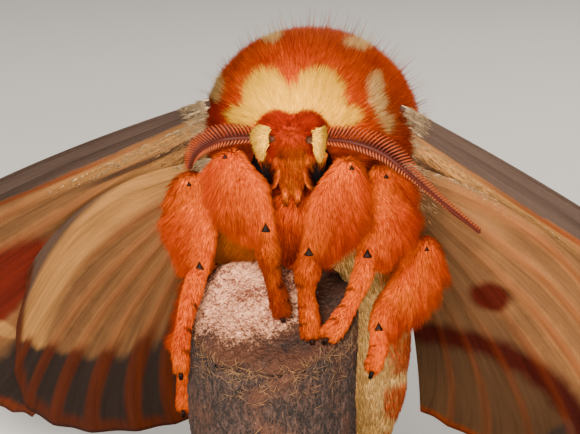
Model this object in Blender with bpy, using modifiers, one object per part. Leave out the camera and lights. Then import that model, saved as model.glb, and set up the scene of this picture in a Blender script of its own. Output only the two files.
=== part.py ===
"""Regal moth gripping a cut branch on a display stand, at life size.

The moth faces -Y with its wings hanging at both sides. Sizes are in millimetres, taken from the centre of
the head, and an empty carries them to the stand's frame, whose origin is the middle of the base's underside.
"""
import math
import random

import bmesh
import bpy
from mathutils import Matrix, Vector, noise

MM = 0.001
GAP = 0.3
HEAD_PLACE = (0.0, -8.0, 43.5)
CAMERA_SIDE = Vector((0.15, -0.96, 0.22)).normalized()

THORAX_CENTRE = (0.2, 9.6, 0.7)
THORAX_CORE = (7.9, 8.6, 7.2)
THORAX_PITCH = 27.0
CHEST = ((0.0, 3.6, -5.6), (3.2, 2.8, 3.3))
# Rings of locks round the neck: degrees from it, locks in the ring, lock length and lift off the body.
THORAX_RINGS = (
    (19, 6, 3.9, 34),
    (38, 9, 4.9, 31),
    (58, 11, 5.6, 28),
    (79, 12, 5.8, 27),
    (102, 10, 5.8, 25),
    (126, 6, 5.6, 22),
)
THORAX_LOCK = (4.9, 1.0)
LOCK_TIP = 0.28
LOCK_SINK = 0.6
SEED = 9

HEAD_TURN = 8.0
SKULL = ((0.0, 0.5, -0.1), (2.5, 2.5, 2.9))
FACE_TOP_WIDTH = 3.9
FACE_FOOT_WIDTH = 2.1
FACE_HEIGHT = 4.3
FACE_FRONT = -3.0
FACE_MIDDLE_HEIGHT = -0.1
CROWN_LOBE = ((1.0, -0.4, 2.3), (1.9, 1.6, 1.9))
CROWN_LOCKS = 4
CROWN_LOCK = (2.4, 1.9, 1.0)
SCAPE_TUFT = (2.6, -2.1, 3.5)
SCAPE_FALL = (-0.35, -0.15, -1.0)
SCAPE_LOCK = (3.4, 1.4, 0.7)
EYE = ((2.25, -0.4, -0.6), (1.1, 1.6, 1.6))
PALP = ((0.5, -1.75, -2.9), (0.42, 0.55, 0.8))

FEELER_SHAFT = 0.3
BARB_SPACING = 1.4
BARB_SLANT = 0.45
BARB_RADIUS = 0.3
LOWER_BARB_SHARE = 0.75
FEELER_LEFT = (
    (-1.3, -1.9, 2.0, 0.45), (-3.2, -2.5, 2.4, 0.75), (-5.1, -2.9, 2.35, 0.9), (-6.5, -2.4, 1.8, 0.9),
    (-7.7, -1.4, 0.9, 0.75), (-8.4, -0.5, -0.1, 0.5), (-8.8, 0.3, -1.1, 0.25),
)
FEELER_RIGHT = (
    (1.6, -1.9, 2.1, 0.45), (3.3, -2.5, 2.45, 0.75), (5.2, -3.0, 2.5, 0.95), (7.0, -3.2, 2.1, 1.0),
    (8.4, -3.2, 1.4, 0.9), (9.6, -3.1, 0.4, 0.75), (10.6, -2.6, -0.7, 0.5), (13.0, -1.2, -3.2, 0.35),
    (15.6, 0.3, -5.7, 0.2),
)

ABDOMEN = (
    (0.0, 15.6, -2.6, 4.3), (0.7, 18.6, -7.5, 5.2), (2.0, 19.8, -13.5, 5.6), (3.4, 19.6, -20.5, 5.0),
    (4.1, 18.8, -27.0, 3.7), (4.3, 17.8, -32.0, 1.2),
)
ABDOMEN_PART_HEIGHT = -17.0

# The fringe of each shank: directions it leaves towards, as shares of outwards and towards the viewer.
FRINGE_ROWS = ((1.0, 0.5), (1.0, -0.5))
FRINGE_STATIONS = (0.14, 0.42, 0.7)
FRINGE_LOCK = (3.3, 2.4, 0.8)
FRINGE_CORE = 0.74

# Each leg's lengths run from the body outwards: place, half width across the view and half depth along it.
LEGS = {
    "fore_left": (
        ((-1.6, 1.8, -6.4, 1.1, 1.1), (-3.4, 1.0, -3.4, 1.3, 1.2), (-4.9, 0.1, -0.6, 1.1, 1.0)),
        ((-5.1, -1.9, -0.1, 1.3, 1.0), (-4.9, -3.0, -1.4, 2.3, 1.4), (-3.9, -3.6, -3.0, 2.7, 1.6),
         (-2.7, -4.1, -4.1, 1.9, 1.3), (-1.5, -4.6, -4.9, 0.8, 0.7)),
        ((-1.4, -4.6, -5.0, 0.8, 0.7), (-1.3, -4.4, -6.8, 1.05, 0.9), (-1.0, -3.9, -9.1, 0.75, 0.7),
         (-0.6, -3.4, -10.9, 0.85, 0.7), (-0.4, -3.2, -12.2, 0.9, 0.6)),
    ),
    "fore_right": (
        ((1.6, 1.8, -6.4, 1.1, 1.1), (3.4, 1.0, -3.4, 1.3, 1.2), (4.9, 0.1, -1.0, 1.1, 1.0)),
        ((5.1, -1.8, -0.5, 1.2, 1.0), (5.0, -2.6, -1.8, 2.1, 1.5), (4.5, -3.3, -3.6, 2.6, 1.7),
         (3.5, -4.1, -5.3, 2.0, 1.3), (2.3, -4.6, -6.5, 0.8, 0.7)),
        ((2.2, -4.6, -6.6, 0.8, 0.7), (2.0, -4.6, -8.3, 1.1, 0.9), (1.9, -4.7, -10.0, 0.75, 0.7),
         (2.2, -5.0, -12.0, 0.85, 0.7), (2.4, -5.2, -13.4, 0.95, 0.6)),
    ),
    "mid_left": (
        ((-3.6, 4.0, -5.8, 1.2, 1.2), (-6.0, 4.2, -5.2, 1.3, 1.2), (-8.2, 3.9, -3.9, 1.1, 1.0)),
        ((-9.2, 2.2, -2.7, 1.2, 1.0), (-9.2, 1.8, -4.4, 2.0, 1.5), (-8.9, 0.9, -6.3, 2.2, 1.6),
         (-8.3, 0.0, -8.0, 1.7, 1.3), (-7.7, -0.8, -9.3, 0.8, 0.7)),
        ((-7.7, -1.0, -9.5, 0.8, 0.7), (-7.9, -2.8, -10.9, 0.85, 0.8), (-8.2, -4.8, -13.0, 0.7, 0.7),
         (-8.3, -6.0, -14.8, 0.75, 0.7), (-8.2, -6.6, -16.4, 0.75, 0.6)),
    ),
    "mid_right": (
        ((3.6, 4.0, -5.8, 1.2, 1.2), (5.4, 4.0, -4.6, 1.2, 1.1), (6.8, 3.7, -2.6, 1.1, 1.0)),
        ((7.6, 1.8, -1.3, 1.2, 1.0), (8.1, 1.5, -3.2, 2.0, 1.5), (8.2, 0.7, -5.2, 2.2, 1.6),
         (7.3, -0.4, -6.8, 1.7, 1.3), (6.5, -1.2, -7.6, 0.8, 0.7)),
        ((6.4, -1.4, -7.8, 0.8, 0.7), (6.2, -2.1, -9.3, 0.9, 0.8), (5.5, -3.3, -11.1, 0.7, 0.7),
         (4.7, -4.9, -12.5, 0.85, 0.7), (4.1, -5.5, -13.3, 0.9, 0.6)),
    ),
    "hind_left": (
        ((-3.0, 7.1, -7.3, 1.1, 1.1), (-4.6, 6.6, -8.4, 1.2, 1.2), (-6.2, 6.4, -9.4, 1.1, 1.1)),
        ((-7.4, 6.2, -10.2, 1.1, 1.1), (-8.2, 6.0, -12.0, 1.6, 1.4), (-8.8, 5.6, -14.2, 1.6, 1.4),
         (-9.2, 4.8, -16.4, 1.3, 1.2), (-9.4, 3.4, -18.0, 0.8, 0.7)),
        ((-9.5, 3.1, -18.4, 0.75, 0.7), (-9.6, 2.4, -20.2, 0.8, 0.7), (-9.6, 1.4, -22.2, 0.75, 0.6)),
    ),
    "hind_right": (
        ((3.2, 7.1, -7.3, 1.1, 1.1), (6.4, 5.8, -8.4, 1.2, 1.2), (9.2, 5.0, -8.2, 1.1, 1.0)),
        ((10.9, 4.4, -8.1, 1.1, 1.0), (10.7, 4.0, -9.8, 1.9, 1.4), (9.7, 3.1, -11.9, 2.0, 1.4),
         (8.2, 2.3, -13.5, 1.6, 1.2), (7.2, 1.4, -14.5, 0.8, 0.7)),
        ((7.2, 1.1, -14.8, 0.75, 0.7), (7.3, 0.3, -16.0, 0.8, 0.7), (7.0, -0.6, -17.4, 0.75, 0.6)),
    ),
}

# A wing's own frame: costa swept back from sideways, costa drooping below level, and the fall of the web.
WING_ROOT = (8.3, 6.6, 2.6)
WING_SWEEP = {"left": 30.0, "right": 36.0}
WING_DROOP = {"left": 21.0, "right": 30.0}
WING_FALL = 66.0
WEB_THICKNESS = 0.55
VEIN_THICKNESS = 0.95
VEINS = (0.12, 0.26, 0.40, 0.53, 0.66, 0.79, 0.91)
VEIN_HALF_SHARE = 0.018
HINDWING_DEPTH = 1.35
CHORD_BEND = 0.004
SPAN_BEND = 0.0009
WING_ROWS = 5
FOREWING_BASE = ((-0.6, -0.8), (0.4, 4.2))
FOREWING_EDGE = ((55.5, 3.6), (57.5, 7.0), (57.0, 12.5), (55.5, 18.5), (53.0, 24.0), (48.5, 26.8))
FOREWING_ARCH = (-1.6, 0.6)
HINDWING_BASE = {"left": ((1.2, 4.0), (2.6, 7.6)), "right": ((1.2, 3.4), (2.8, 7.0))}
HINDWING_EDGE = {
    "left": ((30.5, 8.9), (41.0, 17.6), (46.0, 24.5), (42.5, 28.6), (33.5, 30.3), (24.0, 30.0)),
    "right": ((32.5, 6.5), (40.5, 12.8), (44.0, 19.5), (40.5, 24.6), (31.5, 25.4), (23.2, 25.0)),
}
HINDWING_ARCH = (-2.6, -1.0)

BRANCH_AXIS = (-1.3, -1.7)
BRANCH_RADIUS = 7.1
BRANCH_FOOT = -33.0
BRANCH_TOP = -12.7
BRANCH_SLANT = 25.0
BARK_RELIEF = 0.35
ROD_RADIUS = 1.6
BASE_RADIUS = 32.0
BASE_THICKNESS = 5.0
BASE_EDGE = 0.8

COLOURS = {
    "fur": (0.75, 0.10, 0.012), "cream": (0.91, 0.64, 0.26), "eye": (0.01, 0.006, 0.005),
    "feeler": (0.22, 0.04, 0.01), "wing": (0.56, 0.33, 0.14), "bark": (0.06, 0.04, 0.028),
    "brass": (0.75, 0.52, 0.22), "wood": (0.16, 0.07, 0.03),
}


def clear_scene():
    for thing in list(bpy.data.objects):
        bpy.data.objects.remove(thing, do_unlink=True)


def make_collection(name):
    made = bpy.data.collections.new(name)
    bpy.context.scene.collection.children.link(made)
    return made


def make_material(name, colour, roughness, metallic):
    material = bpy.data.materials.new(name)
    material.use_nodes = True
    shader = material.node_tree.nodes["Principled BSDF"]
    shader.inputs["Base Color"].default_value = (*colour, 1.0)
    shader.inputs["Roughness"].default_value = roughness
    shader.inputs["Metallic"].default_value = metallic
    return material


class Workshop:
    """Keeps the collections and the empty that carries the moth, and adds objects to them."""

    def __init__(self):
        self.parts = make_collection("regal_moth")
        self.cutters = make_collection("cutters")
        self.carrier = bpy.data.objects.new("moth_frame", None)
        self.carrier.location = Vector(HEAD_PLACE) * MM
        self.parts.objects.link(self.carrier)

    def add(self, name, mesh, look, roughness=0.8, metallic=0.0):
        thing = bpy.data.objects.new(name, mesh)
        thing.parent = self.carrier
        self.parts.objects.link(thing)
        mesh.materials.append(make_material(name, COLOURS[look], roughness, metallic))
        mesh.shade_smooth()
        mesh.set_sharp_from_angle(angle=math.radians(50))
        return thing

    def cutter(self, name, mesh):
        thing = bpy.data.objects.new("cut_" + name, mesh)
        thing.parent = self.carrier
        thing.hide_render = True
        thing.display_type = "WIRE"
        self.cutters.objects.link(thing)
        return thing

    def join(self, thing, pieces):
        """Fuses closed meshes onto a part with one union, then drops loose scraps and sealed hollows."""
        group = make_collection("joined_" + thing.name)
        for number, mesh in enumerate(pieces):
            piece = bpy.data.objects.new(f"{thing.name}_piece_{number}", mesh)
            piece.parent = self.carrier
            group.objects.link(piece)
        self.boolean(thing, "UNION", group)
        for piece in list(group.objects):
            bpy.data.objects.remove(piece, do_unlink=True)
        bpy.data.collections.remove(group)

    def boolean(self, thing, operation, group):
        step = thing.modifiers.new(operation.lower(), "BOOLEAN")
        step.operation = operation
        step.operand_type = "COLLECTION"
        step.collection = group
        step.solver = "EXACT"
        bpy.context.view_layer.update()
        reader = bpy.context.evaluated_depsgraph_get()
        made = bpy.data.meshes.new_from_object(thing.evaluated_get(reader))
        thing.modifiers.remove(step)
        thing.data = made
        keep_largest(made)

    def carve(self, thing, *meshes):
        """Cuts grown copies of a part's neighbours out of it, so that they meet across the gap."""
        group = make_collection("cut_from_" + thing.name)
        for number, mesh in enumerate(meshes):
            tool = self.cutter(f"{thing.name}_{number}", mesh)
            group.objects.link(tool)
        self.boolean(thing, "DIFFERENCE", group)
        for tool in list(group.objects):
            bpy.data.objects.remove(tool, do_unlink=True)
        bpy.data.collections.remove(group)


def mesh_from(bm, name):
    bmesh.ops.recalc_face_normals(bm, faces=bm.faces)
    mesh = bpy.data.meshes.new(name)
    bm.to_mesh(mesh)
    bm.free()
    return mesh


def keep_largest(mesh):
    """Keeps the closed surface that spans the largest box and removes every other one."""
    bm = bmesh.new()
    bm.from_mesh(mesh)
    bmesh.ops.triangulate(bm, faces=bm.faces)
    unseen = set(bm.faces)
    shells = []
    while unseen:
        shell = []
        waiting = [unseen.pop()]
        while waiting:
            face = waiting.pop()
            shell.append(face)
            for edge in face.edges:
                for other in edge.link_faces:
                    if len(edge.link_faces) == 2 and other in unseen:
                        unseen.remove(other)
                        waiting.append(other)
        shells.append(shell)
    shells.sort(key=shell_size, reverse=True)
    for shell in shells[1:]:
        bmesh.ops.delete(bm, geom=shell, context="FACES")
    bm.to_mesh(mesh)
    bm.free()


def shell_size(shell):
    places = [vertex.co for face in shell for vertex in face.verts]
    low = [min(place[axis] for place in places) for axis in range(3)]
    high = [max(place[axis] for place in places) for axis in range(3)]
    return (Vector(high) - Vector(low)).length


def ball(name, centre, radii, turn=Matrix.Identity(3), grow=0.0, sides=24, rings=14):
    bm = bmesh.new()
    bmesh.ops.create_uvsphere(bm, u_segments=sides, v_segments=rings, radius=1.0)
    sizes = Matrix.Diagonal([(radius + grow) * MM for radius in radii])
    place = Matrix.Translation(Vector(centre) * MM)
    bmesh.ops.transform(bm, matrix=place @ (turn @ sizes).to_4x4(), verts=bm.verts)
    return mesh_from(bm, name)


def lock(root, along, up, length, width, depth, bend):
    """A flat tapered lock: a four-sided cone, fuller in the middle, whose tip bends to the skin."""
    bm = bmesh.new()
    bmesh.ops.create_cone(bm, cap_ends=True, segments=4, radius1=1.0, radius2=LOCK_TIP, depth=1.0)
    bmesh.ops.translate(bm, vec=(0, 0, 0.5), verts=bm.verts)
    sides = [edge for edge in bm.edges if abs(edge.verts[0].co.z - edge.verts[1].co.z) > 0.5]
    bmesh.ops.subdivide_edges(bm, edges=sides, cuts=1)
    along = along.normalized()
    across = along.cross(up).normalized()
    out = across.cross(along)
    for vertex in bm.verts:
        share = vertex.co.z
        fullness = 1 + 1.5 * share * (1 - share)
        spot = root + along * share * length
        spot += across * vertex.co.x * width / 2 * fullness
        spot += out * (vertex.co.y * depth / 2 * fullness - bend * share * share)
        vertex.co = spot * MM
    return mesh_from(bm, "lock")


def smooth_route(stations, steps):
    """Catmull-Rom samples through the stations, with a few steps in each span; sizes blend alike."""
    rows = [Vector(station) for station in stations]
    rows = [rows[0] * 2 - rows[1]] + rows + [rows[-1] * 2 - rows[-2]]
    route = []
    for a, b, c, d in zip(rows, rows[1:], rows[2:], rows[3:]):
        for step in range(steps):
            t = step / steps
            curve = (a * 2 - b * 5 + c * 4 - d) * t * t
            twist = (b * 3 - a - c * 3 + d) * t ** 3
            route.append((b * 2 + (c - a) * t + curve + twist) / 2)
    route.append(rows[-2])
    return route


def limb(name, stations, sides=8, steps=2, grow=0.0, facing=CAMERA_SIDE, ends=True):
    """A loft of oval rings along a bent route: place, half width and half depth at each station."""
    full = [tuple(station) if len(station) == 5 else (*station, station[3]) for station in stations]
    route = smooth_route(full, steps)
    places = [Vector(row[:3]) for row in route]
    sizes = [(max(row[3], 0.15) + grow, max(row[4], 0.15) + grow) for row in route]
    if ends:
        places, sizes = round_ends(places, sizes, grow)
    bm = bmesh.new()
    rings = []
    for number, (place, (wide, deep)) in enumerate(zip(places, sizes)):
        ahead = places[min(number + 1, len(places) - 1)] - places[max(number - 1, 0)]
        ahead.normalize()
        depth = (facing - ahead * facing.dot(ahead)).normalized()
        across = ahead.cross(depth)
        ring = []
        for side in range(sides):
            angle = math.tau * side / sides
            spot = place + across * math.cos(angle) * wide + depth * math.sin(angle) * deep
            ring.append(bm.verts.new(spot * MM))
        rings.append(ring)
    for ring, following in zip(rings, rings[1:]):
        for side in range(sides):
            after = (side + 1) % sides
            bm.faces.new((ring[side], ring[after], following[after], following[side]))
    bm.faces.new(rings[0])
    bm.faces.new(rings[-1])
    return mesh_from(bm, name)


def round_ends(places, sizes, grow):
    """Adds a smaller ring beyond each end, so that a limb's ends are rounded."""
    first = (places[0] - places[1]).normalized()
    last = (places[-1] - places[-2]).normalized()
    start = places[0] + first * (min(sizes[0]) * 0.5 + grow * 0.5)
    finish = places[-1] + last * (min(sizes[-1]) * 0.5 + grow * 0.5)
    small = tuple(size * 0.6 for size in sizes[0])
    tiny = tuple(size * 0.6 for size in sizes[-1])
    return [start] + places + [finish], [small] + sizes + [tiny]


def wing_axes(side):
    """The wing's own directions: out along its leading edge, across to the trailing one, and downwards."""
    sign = -1 if side == "left" else 1
    sweep = math.radians(WING_SWEEP[side])
    droop = math.radians(WING_DROOP[side])
    fall = math.radians(WING_FALL)
    level = math.cos(droop)
    out = Vector((sign * math.cos(sweep) * level, math.sin(sweep) * level, -math.sin(droop)))
    web = Vector((0, math.cos(fall), -math.sin(fall)))
    web = (web - out * web.dot(out)).normalized()
    under = out.cross(web) * -sign
    return sign, out, web, under


def sheet_place(side, u, v, under_offset):
    """A place on the curved sheet that both wings of one side follow."""
    sign, out, web, under = wing_axes(side)
    root = Vector((sign * WING_ROOT[0], WING_ROOT[1], WING_ROOT[2]))
    back = CHORD_BEND * (v - 4.0) ** 2 + SPAN_BEND * u * u
    return root + out * u + web * v + under * (under_offset - back)


def wing_columns():
    """Shares across the wing with whether a vein's crest runs there; each vein has a foot at both sides."""
    columns = [(0.0, True)]
    for vein in VEINS:
        columns += [(vein - VEIN_HALF_SHARE, False), (vein, True), (vein + VEIN_HALF_SHARE, False)]
    return columns + [(1.0, False)]


def wing_web(name, side, base, edge, arch, under_offset, grow=0.0):
    """A wing as a fan of quads from its short base to its outer edge, with its veins' crests weighted."""
    outline = smooth_route(edge, 8)
    bm = bmesh.new()
    weights = bm.verts.layers.deform.verify()
    fan = []
    for row in range(WING_ROWS + 1):
        along = row / WING_ROWS
        line = []
        for across, crest in wing_columns():
            start = Vector(base[0]).lerp(Vector(base[1]), across)
            rim = across * (len(outline) - 1)
            low = min(int(rim), len(outline) - 2)
            finish = outline[low].lerp(outline[low + 1], rim - low)
            spot = start.lerp(finish, along)
            swell = 4 * along * (1 - along)
            spot.y += swell * (arch[0] * (1 - across) ** 2 + arch[1] * across ** 2)
            spot.y += grow * (2 * across - 1)
            spot.x -= grow * (1 - along)
            vertex = bm.verts.new(sheet_place(side, spot.x, spot.y, under_offset) * MM)
            vertex[weights][0] = 1.0 if crest and row < WING_ROWS else 0.0
            line.append(vertex)
        fan.append(line)
    for line, beyond in zip(fan, fan[1:]):
        for a, b, c, d in zip(line, line[1:], beyond[1:], beyond):
            bm.faces.new((a, b, c, d))
    bmesh.ops.triangulate(bm, faces=bm.faces)
    mesh = mesh_from(bm, name)
    return mesh


def thicken(thing, grow=0.0):
    """Gives a wing its web's thickness, and its veins' at their crests, on both faces alike."""
    thing.vertex_groups.new(name="crests")
    shell = thing.modifiers.new("web", "SOLIDIFY")
    shell.thickness = (VEIN_THICKNESS + 2 * grow) * MM
    shell.offset = 0.0
    shell.vertex_group = "crests"
    shell.thickness_vertex_group = (WEB_THICKNESS + 2 * grow) / (VEIN_THICKNESS + 2 * grow)
    bpy.context.view_layer.update()
    reader = bpy.context.evaluated_depsgraph_get()
    thing.data = bpy.data.meshes.new_from_object(thing.evaluated_get(reader))
    thing.modifiers.remove(shell)
    return thing.data


def wing_spec(kind, side):
    if kind == "forewing":
        return FOREWING_BASE, FOREWING_EDGE, FOREWING_ARCH, 0.0
    return HINDWING_BASE[side], HINDWING_EDGE[side], HINDWING_ARCH, HINDWING_DEPTH


def grown_wing(workshop, kind, side):
    mesh = wing_web("grown", side, *wing_spec(kind, side), grow=GAP)
    thing = workshop.cutter("wing", mesh)
    thick = thicken(thing, GAP)
    bpy.data.objects.remove(thing, do_unlink=True)
    return thick


def build_wings(workshop):
    for side in ("left", "right"):
        for kind in ("forewing", "hindwing"):
            mesh = wing_web(kind, side, *wing_spec(kind, side))
            thing = workshop.add(f"{kind}_{side}", mesh, "wing")
            thicken(thing)


def turned(places):
    """Turns places of the head about the upright through the head's centre."""
    turn = Matrix.Rotation(math.radians(HEAD_TURN), 3, "Z")
    return turn @ Vector(places)


def head_ball(name, spec, sign=1, grow=0.0, sides=14, rings=8):
    centre, radii = spec
    turn = Matrix.Rotation(math.radians(HEAD_TURN), 3, "Z")
    spot = turned((centre[0] * sign, centre[1], centre[2]))
    return ball(name, spot, radii, turn, grow, sides, rings)


def face_wedge(grow=0.0):
    """The face as a cone that narrows downwards, flattened from front to back."""
    bm = bmesh.new()
    bmesh.ops.create_cone(
        bm, cap_ends=True, segments=14, radius1=FACE_FOOT_WIDTH / 2 + grow, radius2=FACE_TOP_WIDTH / 2 + grow,
        depth=FACE_HEIGHT + 2 * grow,
    )
    middle = turned((0.0, FACE_FRONT + FACE_TOP_WIDTH / 2, FACE_MIDDLE_HEIGHT))
    bmesh.ops.transform(bm, matrix=Matrix.Translation(middle * MM) @ Matrix.Scale(MM, 4), verts=bm.verts)
    return mesh_from(bm, "face")


def build_head(workshop):
    head = workshop.add("head", head_ball("head", SKULL), "fur")
    tufts = []
    for sign in (-1, 1):
        tufts += crown_locks(sign) + scape_locks(sign)
    workshop.join(head, [face_wedge(), *tufts])
    grown = []
    for sign, side in ((-1, "left"), (1, "right")):
        workshop.add(f"eye_{side}", head_ball("eye", EYE, sign), "eye", 0.15)
        workshop.add(f"palp_{side}", head_ball("palp", PALP, sign, 0.0, 10, 7), "fur")
        grown.append(head_ball("eye", EYE, sign, GAP))
        grown.append(head_ball("palp", PALP, sign, GAP, 10, 7))
        feeler = FEELER_LEFT if side == "left" else FEELER_RIGHT
        grown.append(feeler_shape(feeler, GAP))
    workshop.carve(head, *grown)


def crown_locks(sign):
    """The short locks that stand up and out in a fan on one lobe of the crown."""
    shapes = []
    length, width, depth = CROWN_LOCK
    for number in range(CROWN_LOCKS):
        fan = math.radians(-60 + 120 * number / (CROWN_LOCKS - 1))
        along = turned((math.sin(fan) + 0.15 * sign, -0.25, math.cos(fan)))
        centre = CROWN_LOBE[0]
        start = turned((sign * centre[0] + 0.25 * math.sin(fan), centre[1] + 0.05 * number, centre[2]))
        shapes.append(lock(start, along, turned((0, -1, 0.2)), length, width, depth, 0.2))
    return shapes


def scape_locks(sign):
    """The cream tuft that hangs from a feeler's base beside the face."""
    length, width, depth = SCAPE_LOCK
    shapes = []
    for shift, share in ((-0.35, 0.85), (0.35, 1.0)):
        start = turned((sign * SCAPE_TUFT[0] + shift, SCAPE_TUFT[1] - abs(shift) * 0.2, SCAPE_TUFT[2]))
        along = turned((SCAPE_FALL[0] * sign - shift * 0.2, SCAPE_FALL[1], SCAPE_FALL[2]))
        shapes.append(lock(start, along, turned((0, -1, 0)), length * share, width, depth, 0.15))
    return shapes


def feeler_route(stations):
    return smooth_route(stations, 8)


def feeler_shape(stations, grow=0.0):
    """The feeler's whole outline as one smooth flat limb, for cutting its neighbours clear of it."""
    rows = [(x, y, z, wide, FEELER_SHAFT) for x, y, z, wide in stations]
    return limb("feeler", rows, sides=6, steps=2, grow=grow)


def feeler_shaft(stations):
    rows = [(x, y, z, min(FEELER_SHAFT, wide), min(FEELER_SHAFT, wide)) for x, y, z, wide in stations]
    return limb("feeler", rows, sides=6, steps=2)


def barbs(stations):
    """The comb's teeth along both sides of a feeler, longest where its outline is widest."""
    route = feeler_route(stations)
    shapes = []
    since = BARB_SPACING
    for here, after in zip(route, route[1:]):
        step = (after - here).to_3d()
        since += step.length
        if since < BARB_SPACING or here[3] < FEELER_SHAFT + 0.1:
            continue
        since = 0.0
        ahead = step.normalized()
        depth = (CAMERA_SIDE - ahead * CAMERA_SIDE.dot(ahead)).normalized()
        across = ahead.cross(depth)
        for sign in (-1, 1):
            up = sign * across.z > 0
            reach = here[3] * (1.0 if up else LOWER_BARB_SHARE)
            along = across * sign + ahead * BARB_SLANT
            shapes.append(barb(Vector(here[:3]), along, depth, reach * along.length))
    return shapes


def barb(root, along, depth, length):
    """One tooth of the comb: a four-sided cone from inside the shaft to a narrow tip."""
    bm = bmesh.new()
    bmesh.ops.create_cone(
        bm, cap_ends=True, segments=4, radius1=BARB_RADIUS, radius2=BARB_RADIUS * 0.55, depth=length,
    )
    bmesh.ops.translate(bm, vec=(0, 0, length / 2), verts=bm.verts)
    turn = along.to_track_quat("Z", "Y").to_matrix().to_4x4()
    bmesh.ops.transform(bm, matrix=Matrix.Translation(root * MM) @ turn @ Matrix.Scale(MM, 4), verts=bm.verts)
    return mesh_from(bm, "barb")


def build_feelers(workshop):
    for side, stations in (("left", FEELER_LEFT), ("right", FEELER_RIGHT)):
        feeler = workshop.add(f"antenna_{side}", feeler_shaft(stations), "feeler")
        workshop.join(feeler, barbs(stations))


def thorax_turn():
    return Matrix.Rotation(math.radians(-THORAX_PITCH), 3, "X")


def thorax_locks():
    """Rings of locks that lie out and back from the neck all round the thorax."""
    draw = random.Random(SEED)
    turn = thorax_turn()
    centre = Vector(THORAX_CENTRE)
    neck = -centre.normalized()
    side = neck.cross(Vector((0, 0, 1))).normalized()
    top = side.cross(neck)
    width, depth = THORAX_LOCK
    shapes = []
    for ring, (degrees, count, length, lift) in enumerate(THORAX_RINGS):
        tilt = math.radians(degrees)
        for number in range(count):
            angle = math.tau * (number + 0.5 * (ring % 2) + draw.uniform(-0.12, 0.12)) / count
            ray = neck * math.cos(tilt) + (side * math.cos(angle) + top * math.sin(angle)) * math.sin(tilt)
            local = turn.transposed() @ ray
            reach = 1 / math.sqrt(sum((local[axis] / THORAX_CORE[axis]) ** 2 for axis in range(3)))
            spot = centre + ray * reach
            normal = turn @ Vector([local[axis] / THORAX_CORE[axis] ** 2 for axis in range(3)])
            normal.normalize()
            back = ray * neck.dot(ray) - neck
            back = (back - normal * back.dot(normal)).normalized()
            rise = math.radians(lift + draw.uniform(-4, 4))
            along = back * math.cos(rise) + normal * math.sin(rise)
            size = length * draw.uniform(0.92, 1.1)
            shapes.append(lock(spot - normal * LOCK_SINK, along, normal, size, width, depth, 0.35))
    return shapes


def head_cutters():
    shapes = [head_ball("head", SKULL, 1, GAP), face_wedge(GAP)]
    shapes += [head_ball("crown", CROWN_LOBE, sign, GAP) for sign in (-1, 1)]
    shapes += [head_ball("eye", EYE, sign, GAP) for sign in (-1, 1)]
    return shapes


def build_thorax(workshop):
    core = ball("thorax", THORAX_CENTRE, THORAX_CORE, thorax_turn(), 0.0, 20, 12)
    thorax = workshop.add("thorax", core, "fur")
    workshop.join(thorax, [ball("chest", *CHEST, sides=14, rings=9), *thorax_locks()])
    grown = head_cutters()
    for lengths in LEGS.values():
        for stations in lengths[:2]:
            grown.append(limb("leg", stations, grow=GAP))
    for side in ("left", "right"):
        for kind in ("forewing", "hindwing"):
            grown.append(grown_wing(workshop, kind, side))
    grown.append(limb("abdomen", ABDOMEN, sides=16, steps=3, grow=GAP))
    for stations in (FEELER_LEFT, FEELER_RIGHT):
        grown.append(feeler_shape(stations, GAP))
    workshop.carve(thorax, *grown)


def shank_core(stations, sign):
    """The shank without its fringe: slimmer between its ends, on the outer side alone."""
    core = []
    for number, (x, y, z, wide, deep) in enumerate(stations):
        share = 1.0 if number in (0, len(stations) - 1) else FRINGE_CORE
        before = Vector(stations[max(number - 1, 0)][:3])
        after = Vector(stations[min(number + 1, len(stations) - 1)][:3])
        outer = outward(after - before, sign)[1]
        spot = Vector((x, y, z)) - outer * wide * (1 - share)
        core.append((*spot, wide * share, deep * share))
    return core


def outward(way, sign):
    """For a limb that runs that way: its direction, its leg's outer side and the side to the viewer."""
    ahead = way.normalized()
    depth_way = (CAMERA_SIDE - ahead * CAMERA_SIDE.dot(ahead)).normalized()
    outer = ahead.cross(depth_way)
    return ahead, outer if outer.x * sign > 0 else -outer, depth_way


def fringe(stations, sign, draw):
    """Locks down the outer side of a shank, in rows that leave outwards, forwards and backwards."""
    route = smooth_route(shank_core(stations, sign), 8)
    length, width, depth = FRINGE_LOCK
    shapes = []
    for row, (outwards, forwards) in enumerate(FRINGE_ROWS):
        for share in FRINGE_STATIONS:
            place = share + 0.11 * row
            number = min(int(place * (len(route) - 1)), len(route) - 2)
            here = route[number]
            ahead, outer, depth_way = outward((route[number + 1] - here).to_3d(), sign)
            leave = (outer * outwards + depth_way * forwards).normalized()
            start = here.to_3d() + outer * outwards * here[3] * 0.5 + depth_way * forwards * here[4] * 0.4
            start += Vector([draw.uniform(-0.12, 0.12) for _ in range(3)])
            leave += Vector([draw.uniform(-0.15, 0.15) for _ in range(3)])
            along = leave * 0.8 + ahead
            size = length * draw.uniform(0.9, 1.1) * (1.0 - 0.35 * max(0.0, place - 0.6))
            facing = leave * 0.4 + depth_way * forwards
            shapes.append(lock(start, along, facing, size, width, depth, 0.15))
    return shapes


def build_legs(workshop):
    draw = random.Random(SEED + 1)
    for name, (femur, tibia, tarsus) in LEGS.items():
        upper = workshop.add(f"{name}_femur", limb("femur", femur), "fur")
        workshop.carve(upper, limb("tibia", tibia, grow=GAP))
        sign = -1 if "left" in name else 1
        shank = workshop.add(f"{name}_tibia", limb("tibia", shank_core(tibia, sign)), "fur")
        workshop.join(shank, fringe(tibia, sign, draw))
        workshop.carve(shank, limb("tarsus", tarsus, grow=GAP))
        workshop.add(f"{name}_tarsus", limb("tarsus", tarsus), "fur")


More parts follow.
